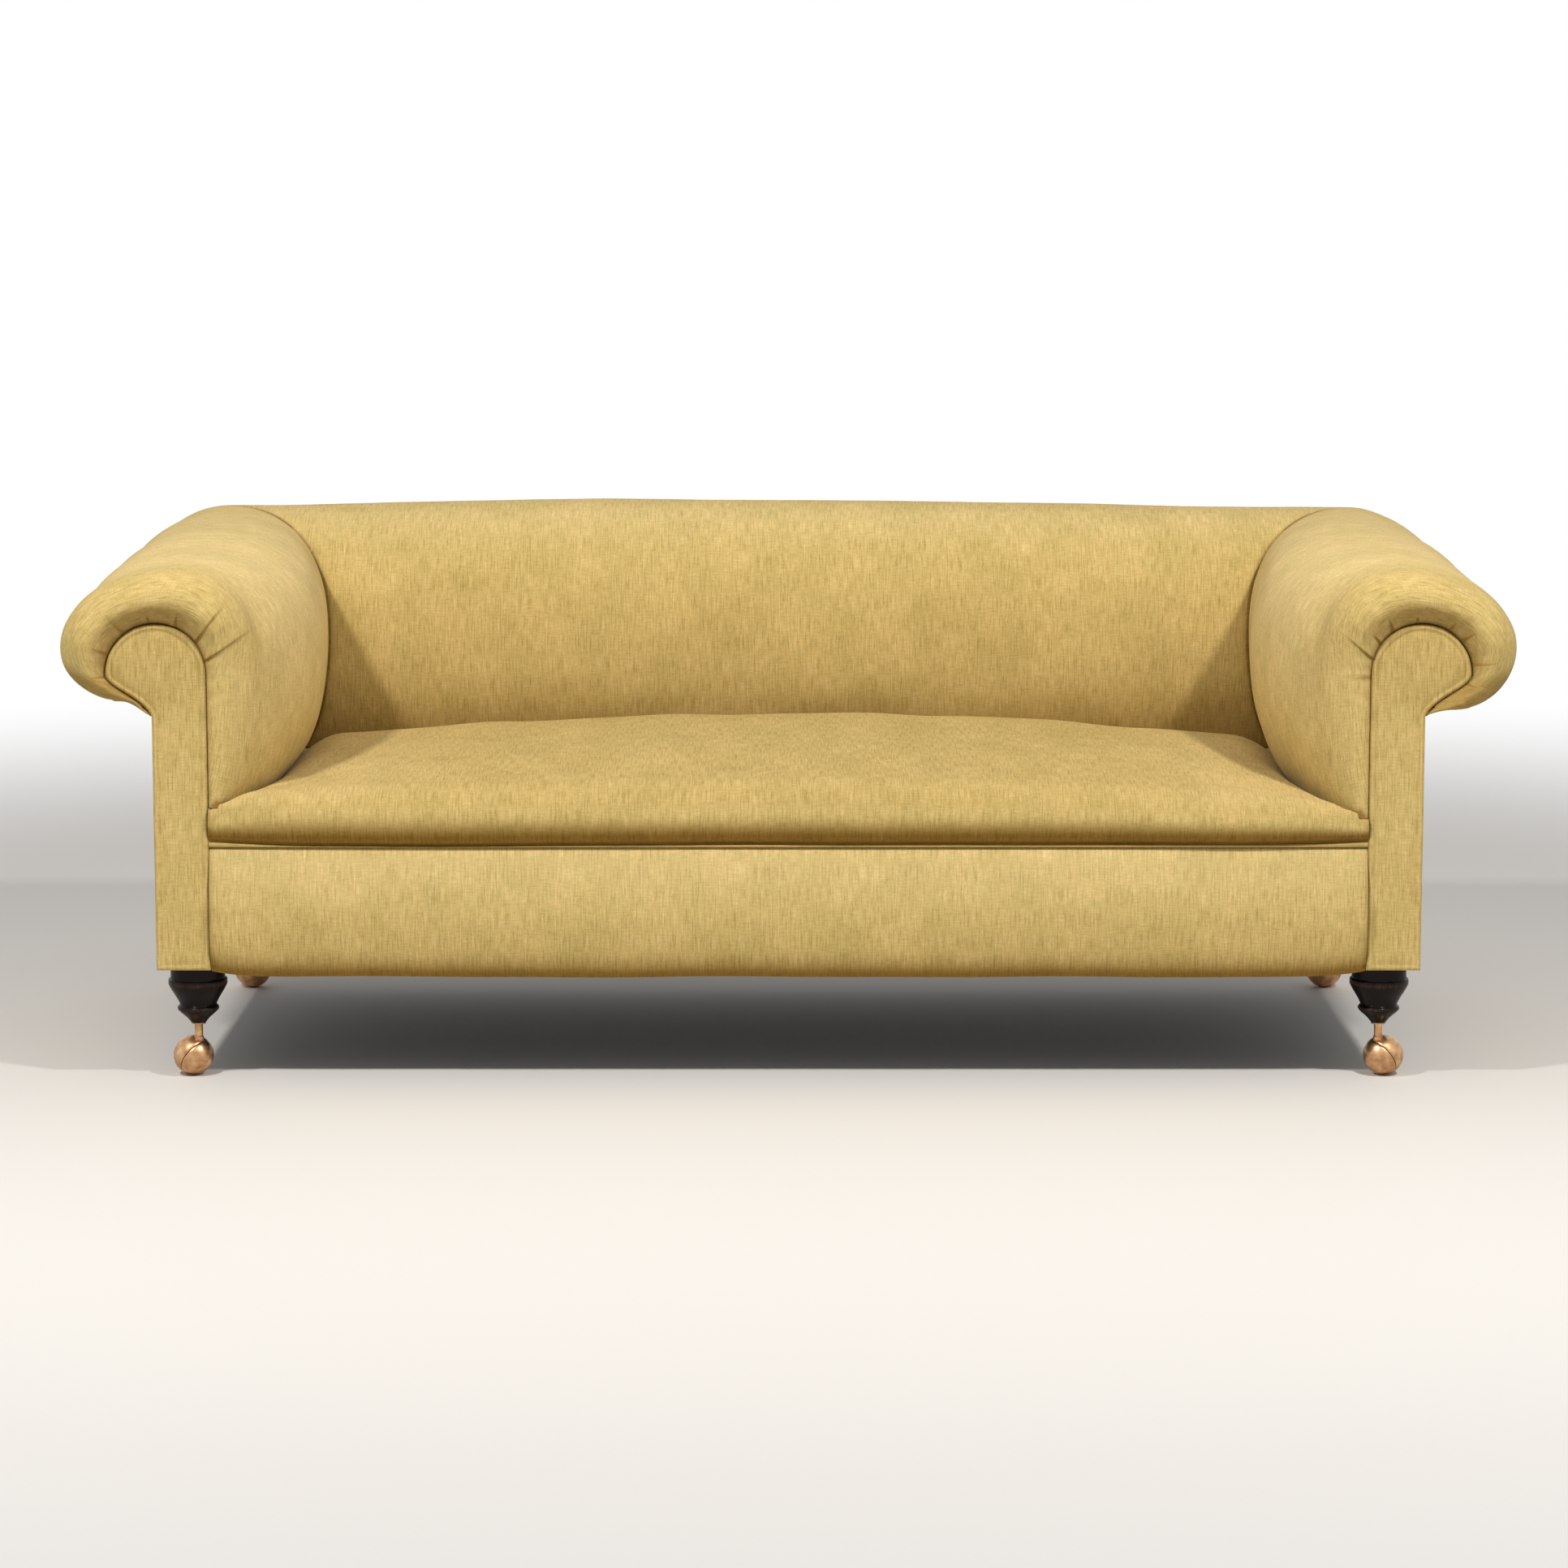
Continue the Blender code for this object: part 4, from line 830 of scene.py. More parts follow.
def pleat_heights(insets, heights, depth, pleats):
    """Height of the folds round an arm's end, and the painted shade along each fold."""
    rise = np.zeros(insets.shape)
    dark = np.zeros(insets.shape)
    for angle, tilt, length, height in pleats:
        start = math.radians(angle)
        way = math.radians(angle + tilt)
        from_start_in = insets - HEAD_INSET - FACING_RADIUS * math.cos(start)
        from_start_up = heights - HEAD_HEIGHT - FACING_RADIUS * math.sin(start)
        along = from_start_in * math.cos(way) + from_start_up * math.sin(way)
        beside = from_start_up * math.cos(way) - from_start_in * math.sin(way)
        fade = ease(1 - along / length) * ease(1 + along / PLEAT_START)
        fade = fade * fading(depth, PLEAT_DEPTH)
        step = ease(beside / PLEAT_STEP + 0.5)
        upper = step * fading(beside, PLEAT_UPPER)
        lower = (1 - step) * fading(-beside, PLEAT_LOWER)
        rise += height * fade * (upper - 0.5 * lower)
        # painted shade along the fold
        dark += ease(1.8 * fade) * bell(beside, PLEAT_SHADE_WIDTH)
    return rise, np.clip(dark, 0, 1)


def gather_ripples(insets, heights, depths, side):
    """Small puckers where the arm's cover is drawn in behind the scroll."""
    angle = np.arctan2(heights - HEAD_HEIGHT, insets - HEAD_INSET)
    away = np.abs(np.hypot(insets - HEAD_INSET, heights - HEAD_HEIGHT) - FACING_RADIUS)
    wave = np.sin(23 * angle + 2 * side + 1.3 * np.sin(5 * angle)) * np.sin(7 * angle + side)
    on_scroll = between(heights, HEAD_HEIGHT - 0.05, HEAD_HEIGHT) * fading(depths, 0.03)
    return PUCKER * wave * fading(away, PUCKER_REACH) * on_scroll


def drawn_ripples(depths, heights, side):
    """Faint upright folds down the inside of an arm."""
    sway = 0.9 * np.sin(heights / 0.055 + side)
    fine = np.sin(depths / 0.0085 + sway) * np.sin(depths / 0.031 + 2 * side)
    along = between(depths, 0.06, 0.14) * between(depths, 0.50, 0.35)
    return FOLD * fine * along * between(heights, 0.63, 0.55) * between(heights, 0.40, 0.46)


def arm_shape(label, side):
    """An arm's grid of points with its hollow, and what its relief and shades are worked out from.

    A column runs along the arm and a row round its section. The front rows go from behind the facing
    out round its edge to the full section, and the others from there to the mitre with the back.
    """
    inner, over, crest, under, lip = ARM_STEPS
    edge_in, edge_up = facing_edge(ARM_STEPS)
    core_in, core_up = core(ARM_STEPS)
    columns = len(edge_in)
    column = np.arange(columns)
    end_top = BACK_TOP - CORNER_DROP[label]
    mitre_in, mitre_up = section(ARM_STEPS, BOTTOM_INSET, BACK_BULGE_INSET, end_top)
    puff = mix(FOOT_PUFF, 1, ease((column - 0.55 * inner) / (0.75 * over)))
    puff *= 1 - UNDER_PUFF_LOSS * ease((column - inner - over - 0.7 * crest) / under)

    flat = smooth_line(ARM_FRONT_FLAT, ARM_FRONT_ROWS)
    puffed = smooth_line(ARM_FRONT_PUFFED, ARM_FRONT_ROWS)
    behind = np.full(columns, BEHIND_FACING)
    share = np.vstack([np.zeros(columns), mix(flat[:, :1], puffed[:, :1], puff)])
    front_depth = np.vstack([behind, mix(flat[:, 1:], puffed[:, 1:], puff)])
    front_rows = len(share)
    full_in, full_up = section(ARM_STEPS, *arm_sizes(ARM_FULL_DEPTH, end_top))
    front_in = mix(edge_in, full_in, share)
    beside_stem = (column >= columns - 1 - lip) & (front_depth < BEHIND_FACING + GAP)
    front_in = np.where(beside_stem, np.minimum(front_in, -TUCK), front_in)

    line = stepped((0, ARM_MITRE, 1), ARM_BODY_ROWS)[1:, None]
    corner = OUTSIDE_DEPTH - LIP_INSET
    level = along_line(ARM_FULL_DEPTH, corner, OUTSIDE_DEPTH - BACK_BULGE_INSET, line[:, 0])
    body_in, body_up = section(ARM_STEPS, *arm_sizes(level, end_top))
    ends = OUTSIDE_DEPTH - mitre_in - GAP
    insets = np.vstack([front_in, body_in])
    heights = np.vstack([mix(edge_up, full_up, share), body_up])
    depths = np.vstack([front_depth, along_line(ARM_FULL_DEPTH, corner, ends, line)])

    hollow_front = np.linspace(behind + GAP, ARM_FULL_DEPTH, front_rows)
    hollow_body = along_line(ARM_FULL_DEPTH, corner, OUTSIDE_DEPTH - core_in - GAP, line)
    narrowed = np.concatenate([np.linspace(0, 1, front_rows) ** 2, np.ones(len(line))])[:, None]
    hollow_x = x_at(side, mix(edge_in, core_in, narrowed))
    hollow_depth = np.vstack([hollow_front, hollow_body])
    hollow = pad_points(hollow_x, hollow_depth, mix(edge_up, core_up, narrowed))

    below = (ROLL_MID_HEIGHT - full_up) / (ROLL_MID_HEIGHT - UNDER_HEIGHT) * (column > inner + over)
    lifted = ease(below) * ease((columns - 1 - column) / lip) * between(depths, UNDER_LIFT_RUN, 0)
    lifted[:front_rows] *= ease(share / 0.35)
    heights += UNDER_LIFT[label] * lifted
    foot = np.clip(1 - column / inner, 0, 1) ** 2
    x = x_at(side, insets)
    heights -= SEAT_SINK * foot * settled(x, depths)
    outer = pad_points(x, depths, heights)
    travel = np.linalg.norm(np.diff(outer[: front_rows + 1], axis=0), axis=2)
    weft = depths.copy()
    weft[:front_rows] = weft[front_rows] - np.cumsum(travel[::-1], axis=0)[::-1]
    return SimpleNamespace(
        x=x,
        insets=insets,
        heights=heights,
        depths=depths,
        outer=outer,
        hollow=hollow,
        column=column,
        puff=puff,
        below=below,
        weft=weft,
        to_mitre=ends - depths,
        from_edge=np.hypot(insets - edge_in, heights - edge_up),
        cloth_along=arc_lengths(mitre_in[0], mitre_up[0]),
        over_top=ease((column - inner - 0.6 * over) / (0.4 * over)),
    )


def arm_shades(arm, normals, pleat_dark):
    """Painted shade in an arm's cloth: in pleats and seams, at the facing, under the roll, on the seat."""
    seam = mix(*MITRE_DARK, arm.over_top) * fading(arm.to_mitre, SEAM_SHADE)
    root = fading(arm.from_edge, *ROOT_SHADE) + arm.puff * bell(arm.from_edge, *COLLAR_SHADE)
    painted_shade = np.clip(PLEAT_DARK * pleat_dark + seam + root * (arm.depths < ROOT_DEPTH), 0, 1)
    at_front = between(arm.depths, 0.14, 0.02)
    overhang = arm.puff * ease(-normals[..., 2] / 0.65)
    above_seat = arm.heights - seat_height(arm.x, arm.depths)
    for shade in (
        mix(*UNDER_DARK, at_front) * ease(1.6 * arm.below),
        COLLAR_DARK * at_front * overhang,
        fading(above_seat, *TOUCH_SHADE) * (arm.column < ARM_STEPS[0]),
    ):
        painted_shade = np.maximum(painted_shade, shade)
    return painted_shade


def make_arm(label, side):
    arm = arm_shape(label, side)
    inner, over = ARM_STEPS[:2]
    last = len(arm.column) - 1
    normals = outward_normals(arm.outer, arm.hollow)
    relief, dark = pleat_heights(arm.insets, arm.heights, arm.depths, PLEATS[label])
    relief += gather_ripples(arm.insets, arm.heights, arm.depths, side)
    soft = ease(arm.depths / 0.10) * ease(arm.to_mitre / 0.05)
    relief += soft * uneven("arm_" + label, arm.depths, arm.cloth_along)
    relief += drawn_ripples(arm.depths, arm.heights, side) * (arm.column < inner + over)
    tied = ease(arm.column / 8) * ease((last - arm.column) / 16) * ease(arm.from_edge / 0.006)
    seam = -ARM_SEAM * fading(arm.to_mitre, SEAM_REACH) * (1 - 0.9 * arm.over_top)
    outer = arm.outer + normals * (relief * tied + seam)[..., None]
    # Painted shade in folds, seams and recesses, under the roll and where the arm meets the seat
    painted_shade = arm_shades(arm, normals, dark)
    # Painted light over the arm's upper part
    painted_light = mix(*ARM_PAINTED_LIGHT, ease(arm.to_mitre / 0.20)) * between(arm.depths, -0.035, 0.115)
    painted_light = painted_light * between(arm.heights, 0.36, 0.66) * (1 - ease(arm.below))
    cloth = stacked(arm.weft, arm.cloth_along)
    mesh = closed_mesh("arm_" + label, outer, arm.hollow, cloth, painted_shade, painted_light)
    place_pad("arm_" + label, mesh, "arm_pad_" + label)


def back_top(x):
    """Height of the back's roll: highest left of the middle, sinking to the corners."""
    left = CORNER_DROP["left"] * between(x, -0.35, -0.75)
    right = CORNER_DROP["right"] * between(x, 0.10, 0.75)
    return BACK_TOP + 0.003 * bell(x + 0.28, 0.30) - left - right


def make_back():
    core_in, core_up = core(BACK_STEPS)
    half = stepped((0, BACK_MITRE, 1), BACK_HALF_ROWS)
    share = np.concatenate([-half[:0:-1], half])[:, None]
    corner = OUTSIDE_HALF_WIDTH - LIP_INSET
    base_in, base_up = section(BACK_STEPS, BOTTOM_INSET, BACK_BULGE_INSET, BACK_TOP)
    cloth_along = arc_lengths(base_in[0], base_up[0])
    ends = OUTSIDE_HALF_WIDTH - base_in - GAP
    core_ends = OUTSIDE_HALF_WIDTH - core_in - GAP
    x, level, core_x = (
        np.sign(share) * along_line(0.0, corner, end, np.abs(share))
        for end in (ends, BACK_LEVEL_END, core_ends)
    )
    insets, heights = section(BACK_STEPS, BOTTOM_INSET, BACK_BULGE_INSET, back_top(level[:, 0]))
    outer = pad_points(x, OUTSIDE_DEPTH - insets, heights)
    hollow = pad_points(core_x, OUTSIDE_DEPTH - core_in, core_up)

    gap = ends - np.abs(x)
    column = np.arange(len(core_in))
    inner, over = BACK_STEPS[:2]
    over_top = ease((column - inner - 0.3 * over) / (0.5 * over))
    soft = ease(gap / 0.08) * (1 - 0.8 * over_top)
    relief = soft * uneven("back", x, cloth_along)
    tied = ease(column / 6) * ease((len(column) - 1 - column) / 10)
    seam = -BACK_SEAM * fading(gap, SEAM_REACH) * (1 - 0.9 * over_top)
    outer = outer + outward_normals(outer, hollow) * (relief * tied + seam)[..., None]
    # Painted shade at the seam and on the low part down by the seat
    low = between(heights, 0.50, 0.40) * (column < inner)
    painted_shade = fading(gap, SEAM_SHADE, MITRE_DARK[0]) + BACK_FOOT_DARK * low
    cloth = stacked(x, cloth_along)
    # Painted light along the top of the back
    painted_light = BACK_PAINTED_LIGHT * between(heights, 0.66, 0.72)
    place_pad("back", closed_mesh("back", outer, hollow, cloth, painted_shade, painted_light), "back_pad")


# Seat, facings, border and piping

# Columns across the seat, and rows under its nose, over it and back from there
SEAT_COLUMNS = 241
SEAT_ROWS = (16, 28, 92)
SEAT_TUCK = math.radians(80)
# How far the seat's filled front stands forward, stands up and hangs down at its middle
SEAT_SWELL = 0.0105
NOSE_SWELL = 0.013
LIP_SWELL = 0.0038
# Extra droop of the seat's lower edge left of the middle: how much, where and how wide
LIP_DROOP = 0.0032
DROOP_PLACE = -0.48
DROOP_WIDTH = 0.20
SEAT_RAISE = 0.003
# Space between the seat and an arm, and what is added to it at the front over which depth
ARM_CLEARANCE = 0.0006
FRONT_SPACES = ((0.0075, 0.05), (0.0055, 0.006))


def seat_ends(across):
    """How far the seat's front has filled out at a share of its half width."""
    return swell((1 - np.abs(across)) / 0.20)


def seat_lip(across):
    """Lower edge of the seat's front, which hangs lowest over the piping left of the middle."""
    droop = bell(BORDER_HALF * across - DROOP_PLACE, DROOP_WIDTH)
    return SEAT_BASE - LIP_SWELL * seat_ends(across) - LIP_DROOP * droop


def under_arm(x, depth):
    """Height of the arm's underside over a place on the seat, less a space that is wider in front."""
    space = ARM_CLEARANCE + sum(extra * between(depth, run, 0) for extra, run in FRONT_SPACES)
    inset = OUTSIDE_HALF_WIDTH - np.abs(x) - space
    bottom, bulge, _ = arm_sizes(depth, BACK_TOP)
    centre = foot_centre(bottom, bulge)
    rise = np.clip((inset - centre) / np.maximum(bulge - centre, 1e-6), FOOT_SWING, 1.0)
    foot = 1 - (rise - FOOT_SWING) / (1 - FOOT_SWING)
    height = BULGE_HEIGHT - FOOT_FALL * np.sqrt(1 - rise * rise)
    return height - SEAT_SINK * foot * settled(x, depth) - ARM_CLEARANCE


def seat_half_width(depth):
    return OUTSIDE_HALF_WIDTH - np.maximum(FACING_INSET + GAP, bottom_inset(depth) - SEAT_UNDER)


def seat_height(x, depth):
    """Top of the sprung seat: a crown that falls to the arms, the back and the front."""
    half = OUTSIDE_HALF_WIDTH - bottom_inset(depth)
    gap = np.maximum(0.0, half - np.abs(x))
    dome = 1 - (1 - gap / half) ** 2
    tight = mix(0.035, 0.075, between(depth, 0.05, 0.35))
    side = mix(dome, swell(gap / tight), 0.48)
    back = swell((OUTSIDE_DEPTH - BOTTOM_INSET - depth) / 0.16)
    rise = mix(0.48, 1.0, swell((depth - SEAT_FRONT) / 0.42))
    edge = SEAT_EDGE + SEAT_RAISE - SEAT_SINK * settled(x, depth)
    return edge + (SEAT_CROWN - edge) * side * back * rise


def make_seat():
    under_rows, over_rows, run_rows = SEAT_ROWS
    under = SEAT_TUCK * (1 - np.arange(under_rows) / under_rows)
    over = np.pi / 2 * np.arange(over_rows) / over_rows
    run = swell(np.linspace(0, 1, run_rows))
    across = np.sin(np.pi / 2 * np.linspace(-1, 1, SEAT_COLUMNS))
    middle = seat_ends(across)
    front = SEAT_FRONT - SEAT_SWELL * middle - middle * uneven("seat_front", across, 0.0)
    nose = SEAT_NOSE + SEAT_RAISE + NOSE_SWELL * middle - 0.008 * between(across, 0.35, 1.0)
    nose += middle * uneven("seat_nose", across, 0.0)
    tucked = mix(0.010, 0.025, middle)
    round_depth = SEAT_FRONT_ROUND * mix(0.25, 1.15, middle)
    depth = np.vstack(
        [
            front + tucked * (1 - np.cos(under))[:, None],
            front + round_depth * (1 - np.cos(over))[:, None],
            mix(front + round_depth, SEAT_BACK, run[:, None]),
        ]
    )
    lift = np.concatenate([-np.sin(under) / math.sin(SEAT_TUCK), np.sin(over), np.ones(run_rows)])[:, None]
    x = seat_half_width(depth) * across
    lip = seat_lip(across) + SEAT_RAISE
    height = np.where(lift < 0, mix(nose, lip, -lift), mix(nose, seat_height(x, depth), lift))
    gap = seat_half_width(depth) - np.abs(x)
    soft = ease(lift) * ease(gap / 0.08) * ease((SEAT_BACK - depth) / 0.10)
    height = np.minimum(height + soft * uneven("seat", x, depth), under_arm(x, depth))
    outer = stacked(x, y_at(depth), height)
    base_depth = mix(depth[0], SEAT_BACK, np.linspace(0, 1, len(depth))[:, None])
    base_x = seat_half_width(base_depth) * across
    base_height = mix(seat_lip(across), SEAT_BASE, ease((base_depth - depth[0]) / 0.0085))
    base = stacked(base_x, y_at(base_depth), base_height)
    middle_column = SEAT_COLUMNS // 2
    cloth_along = arc_lengths(depth[:, middle_column], height[:, middle_column])[:, None]
    cloth = stacked(x, cloth_along)
    # Painted shade over the front round, under the nose and along the arms
    painted_shade = mix(*SEAT_DARK, lift) * ease(2.2 * lift) + ease(-1.2 * lift) + fading(gap, *SEAT_SIDE_SHADE)
    # Painted light towards the ends of the seat
    painted_light = SEAT_PAINTED_LIGHT * between(np.abs(x), 0.40, 0.65) * ease(lift)
    mesh = closed_mesh("seat", outer, base, cloth, np.clip(painted_shade, 0, 1), painted_light)
    place_pad("seat", mesh, "seat_pad")


# A facing's front, from its edge in: distance from the edge and depth of the cloth there
FACING_FRONT = (
    (0.0, 0.0042), (0.0006, 0.0022), (0.0014, 0.0008), (0.0024, -0.0002), (0.0036, -0.0009),
    (0.0050, -0.0010), (0.0064, -0.0003), (0.0078, 0.0004), (0.0092, 0.0003),
    (0.0115, -0.0003), (0.0160, -0.0011), (0.0250, -0.0018), (0.0400, -0.0020),
)
FACING_STEM_ROWS = 70
FACING_HEAD_ROWS = 76
FACING_COLUMNS = 63
# Distance of a facing's line of stitches from its edge
STITCH_LINE = 0.0082


def facing_sides():
    """A facing's two long sides, from its foot to the tip of its scroll, as insets and heights."""
    stem = np.linspace(0, 1, FACING_STEM_ROWS, endpoint=False) ** 1.4
    inner_stem = stacked(FACING_INSET, mix(FACING_BOTTOM, HEAD_HEIGHT, stem))
    crotch = HEAD_HEIGHT - FACING_DROP
    outer_stem = stacked(0.0, mix(FACING_BOTTOM, crotch, stem))
    angle = np.linspace(0, math.radians(179.2), FACING_HEAD_ROWS)
    over = (HEAD_INSET + FACING_RADIUS * np.cos(angle), HEAD_HEIGHT + FACING_RADIUS * np.sin(angle))
    under = curl(FACING_RADIUS, FACING_DROP, 0.0, np.linspace(1, 0.008, FACING_HEAD_ROWS))
    return np.vstack([inner_stem, stacked(*over)]), np.vstack([outer_stem, stacked(*under)])


def distances(spots, lines):
    """Distance from each spot of a flat grid to the nearest of some lines of points."""
    points = np.vstack(lines)
    tree = KDTree(len(points))
    for number, (a, b) in enumerate(points):
        tree.insert((a, b, 0), number)
    tree.balance()
    found = [tree.find((a, b, 0))[2] for a, b in spots.reshape(-1, 2)]
    return np.array(found).reshape(spots.shape[:2])


def make_facing(label, side):
    """A thinly stuffed facing with a raised, stitched edge."""
    inner, outer = facing_sides()
    across = (1 - np.cos(np.pi * np.linspace(0, 1, FACING_COLUMNS))) / 2
    spots = mix(inner[:, None, :], outer[:, None, :], across[None, :, None])
    sill = mix(inner[0], outer[0], np.linspace(0, 1, 40)[:, None])
    away = distances(spots, [smooth_line(line, 1200) for line in (inner, outer, sill)])
    front = smooth_line(FACING_FRONT, 200)
    depth = np.interp(away, front[:, 0], front[:, 1])
    x = x_at(side, spots[..., 0])
    cover = stacked(x, y_at(depth), spots[..., 1])
    rear = stacked(x, y_at(FACING_THICKNESS), spots[..., 1])
    # Painted shade at the edge, along the stitches and on the head
    painted_shade = fading(away, *FACING_EDGE_SHADE) + bell(away - STITCH_LINE, *STITCH_SHADE)
    painted_shade += FACING_HEAD_DARK * between(spots[..., 1], 0.47, 0.53)
    mesh = closed_mesh("facing_" + label, cover, rear, spots, painted_shade)
    place_pad("facing_cover_" + label, mesh, "facing_" + label)


# Profile of the front border, from its top round its lower edge: depth and share of its height
BORDER_PROFILE = (
    (0.0085, 1.0), (0.0055, 0.975), (0.0022, 0.90), (-0.0030, 0.66), (-0.0050, 0.44),
    (-0.0030, 0.21), (0.0010, 0.095), (0.0050, 0.045), (0.0095, 0.014), (0.0138, 0.0),
)
BORDER_REAR = 0.0145
# How far the border's lower edge is drawn up at its ends
BORDER_DRAW = 0.0075
# Middle and half of the piping's depth, and how many sides it has
PIPING_DEPTH = 0.0065
PIPING_HALF = 0.0040
PIPING_SIDES = 16


def make_border():
    profile = smooth_line(BORDER_PROFILE, 64)
    share = profile[:, 1]
    x = np.linspace(-BORDER_HALF, BORDER_HALF, 221)[:, None]
    gap = BORDER_HALF - np.abs(x)
    bottom = BORDER_BOTTOM + BORDER_DRAW * fading(gap, 0.035) + uneven("border_edge", x, 0.0)
    height = mix(bottom, BORDER_TOP, share)
    depth = profile[:, 0] + uneven("border", x, height) * np.sin(np.pi * np.clip(share, 0, 1))
    outer = stacked(x, y_at(depth), height)
    inner = stacked(x, y_at(BORDER_REAR), height)
    # Painted shade at the ends, under the piping, along the lower edge and on the lower half
    painted_shade = fading(gap, *BORDER_END_SHADE) + fading(BORDER_TOP - height, *BORDER_TOP_SHADE)
    painted_shade += bell(height - bottom, *BORDER_FOOT_SHADE) + BORDER_LOW_DARK * between(share, 0.55, 0.0)
    # Painted light on the upper part
    painted_light = BORDER_PAINTED_LIGHT * between(share, 0.40, 1.0)
    cloth = stacked(x, height)
    mesh = closed_mesh("border", outer, inner, cloth, np.clip(painted_shade, 0, 1), painted_light)
    place_pad("border", mesh, "front_border")


def make_piping():
    """The covered cord that lies on the border under the seat's edge, flattened where it is pressed."""
    shell = bmesh.new()
    rings = []
    for x in np.linspace(-BORDER_HALF, BORDER_HALF, 181):
        half = (seat_lip(x / BORDER_HALF) - BORDER_TOP - 1.5 * GAP) / 2
        ring = []
        for angle in 2 * np.pi * np.arange(PIPING_SIDES) / PIPING_SIDES:
            depth = PIPING_DEPTH + PIPING_HALF * math.cos(angle)
            height = BORDER_TOP + GAP / 2 + half * (1 + math.sin(angle))
            ring.append(shell.verts.new((x, y_at(depth), height)))
        rings.append(ring)
    skin(shell, rings)
    shell.faces.new(rings[0])
    shell.faces.new(rings[-1])
    mesh = finished("piping", shell, PIPING_SHARP)
    mark_cloth(mesh, np.array([(vert.co.z * 3, vert.co.x) for vert in mesh.vertices]))
    # An even painted shade, for the cord lying under the seat's edge
    mark(mesh, "painted_shade", np.full(len(mesh.vertices), PIPING_DARK))
    place("piping", mesh, "sage_chenille", "seat_piping")


# Outside covers and dust cover

# How far the outside covers bow out
ARM_BOW = 0.0022
BACK_BOW = 0.003
# Height, distance apart and reach of the pulls at a cover's lower edge
PULL = 0.0006
PULL_PITCH = 0.055
PULL_REACH = 0.03
# How wide a leg's place in the dust cover is cut round it, and how far the cover sags
LEG_CLEARANCE = 0.012
DUST_SAG = 0.006
DUST_UNEVEN = 0.0008


def panel(name, corner, across, up, out, bow, node):
    """A stretched outside cover: a flat panel bowed out a little, with drawn-in edges."""
    corner, across, up, out = (np.array(v, float) for v in (corner, across, up, out))
    a = np.linspace(0, 1, 121)[:, None]
    b = np.linspace(0, 1, 61)[None, :]
    width, height = np.linalg.norm(across), np.linalg.norm(up)
    edge = np.minimum(np.minimum(a, 1 - a) * width, np.minimum(b, 1 - b) * height)
    roll = quarter(edge / 0.004)
    pulls = PULL * np.sin(2 * np.pi * a * width / PULL_PITCH) * fading(b * height, PULL_REACH)
    lift = bow * ease(edge / 0.12) + pulls * roll
    lift += uneven("panel", a * width, b * height) * ease(edge / 0.05)
    flat = corner + a[..., None] * across + b[..., None] * up
    outer = flat + (COVER_THICKNESS * (roll - 1) * 0.6 + lift)[..., None] * out
    inner = flat - COVER_THICKNESS * out
    cloth = stacked(a * width, b * height)
    # Painted shade along the drawn-in edges
    mesh = closed_mesh(name, outer, inner, cloth, fading(edge, *PANEL_EDGE_SHADE))
    piece = place(name, mesh, "sage_chenille", node)


def make_outside():
    rise = (0, 0, LIP_HEIGHT - GAP - FACING_BOTTOM)
    front = y_at(BEHIND_FACING)
    back = y_at(OUTSIDE_DEPTH - COVER_THICKNESS - GAP)
    for label, side in SIDES.items():
        name = "outside_arm_cover_" + label
        corner = (side * OUTSIDE_HALF_WIDTH, front, FACING_BOTTOM)
        across = (0, back - front, 0)
        panel(name, corner, across, rise, (side, 0, 0), ARM_BOW, "outside_arm_" + label)
    corner = (-OUTSIDE_HALF_WIDTH, y_at(OUTSIDE_DEPTH), FACING_BOTTOM)
    across = (2 * OUTSIDE_HALF_WIDTH, 0, 0)
    panel("outside_back_cover", corner, across, rise, (0, 1, 0), BACK_BOW, "outside_back")


def make_dust_cover():
    """Black cloth under the frame, cut out round the legs and sagging a little between the rails."""
    low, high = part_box("dust_cover")
    reach = LEG_RADIUS + LEG_CLEARANCE
    notch = OUTSIDE_HALF_WIDTH - LEG_INSET - reach
    front_notch = y_at(FRONT_LEG_DEPTH + reach)
    back_notch = y_at(REAR_LEG_DEPTH - reach)
    xs = stepped((low.x, -notch, notch, high.x), (5, 60, 5))
    ys = stepped((low.y, front_notch, back_notch, high.y), (5, 30, 5))
    shell = bmesh.new()
    for level in (low.z, high.z):
        grid = {}
        for i, x in enumerate(xs):
            for j, y in enumerate(ys):
                beside_leg = y < front_notch - SAME_POINT or y > back_notch + SAME_POINT
                if beside_leg and abs(x) > notch + SAME_POINT:
                    continue
                edge = min(x - low.x, high.x - x, y - low.y, high.y - y)
                sag = DUST_SAG * ease(edge / 0.25)
                sag += DUST_UNEVEN * (1 + lumps(x, y, 0.12, 41)) * ease(edge / 0.05)
                grid[i, j] = shell.verts.new((x, y, level - sag))
        for i, j in grid:
            corners = [(i, j), (i + 1, j), (i + 1, j + 1), (i, j + 1)]
            if all(spot in grid for spot in corners):
                shell.faces.new([grid[spot] for spot in corners])
    bmesh.ops.bridge_loops(shell, edges=[edge for edge in shell.edges if len(edge.link_faces) == 1])
    piece = place("dust_cloth", finished("dust_cloth", shell, SHEET_SHARP), "black_cambric", "dust_cover")


# Legs and castors

# Turned outline of a leg: shares of its radius and of its height
LEG_TURNING = (
    (0.245, 0.0), (0.400, 0.085), (0.590, 0.165), (0.690, 0.215), (0.706, 0.240),
    (0.690, 0.268), (0.626, 0.300), (0.640, 0.325), (0.736, 0.415), (0.890, 0.535),
    (0.985, 0.620), (1.0, 0.660), (0.990, 0.715), (0.930, 0.735), (0.922, 0.86), (0.911, 1.0),
)
# Rubbed rings of a leg: share of its height, width and wear
LEG_RINGS = ((0.66, 0.05, 1.0), (0.24, 0.03, 0.8))
LEG_BORE = 0.0084
LEG_BORE_DEPTH = 0.0464
TENON_RADIUS = 0.010
TENON_LENGTH = 0.040

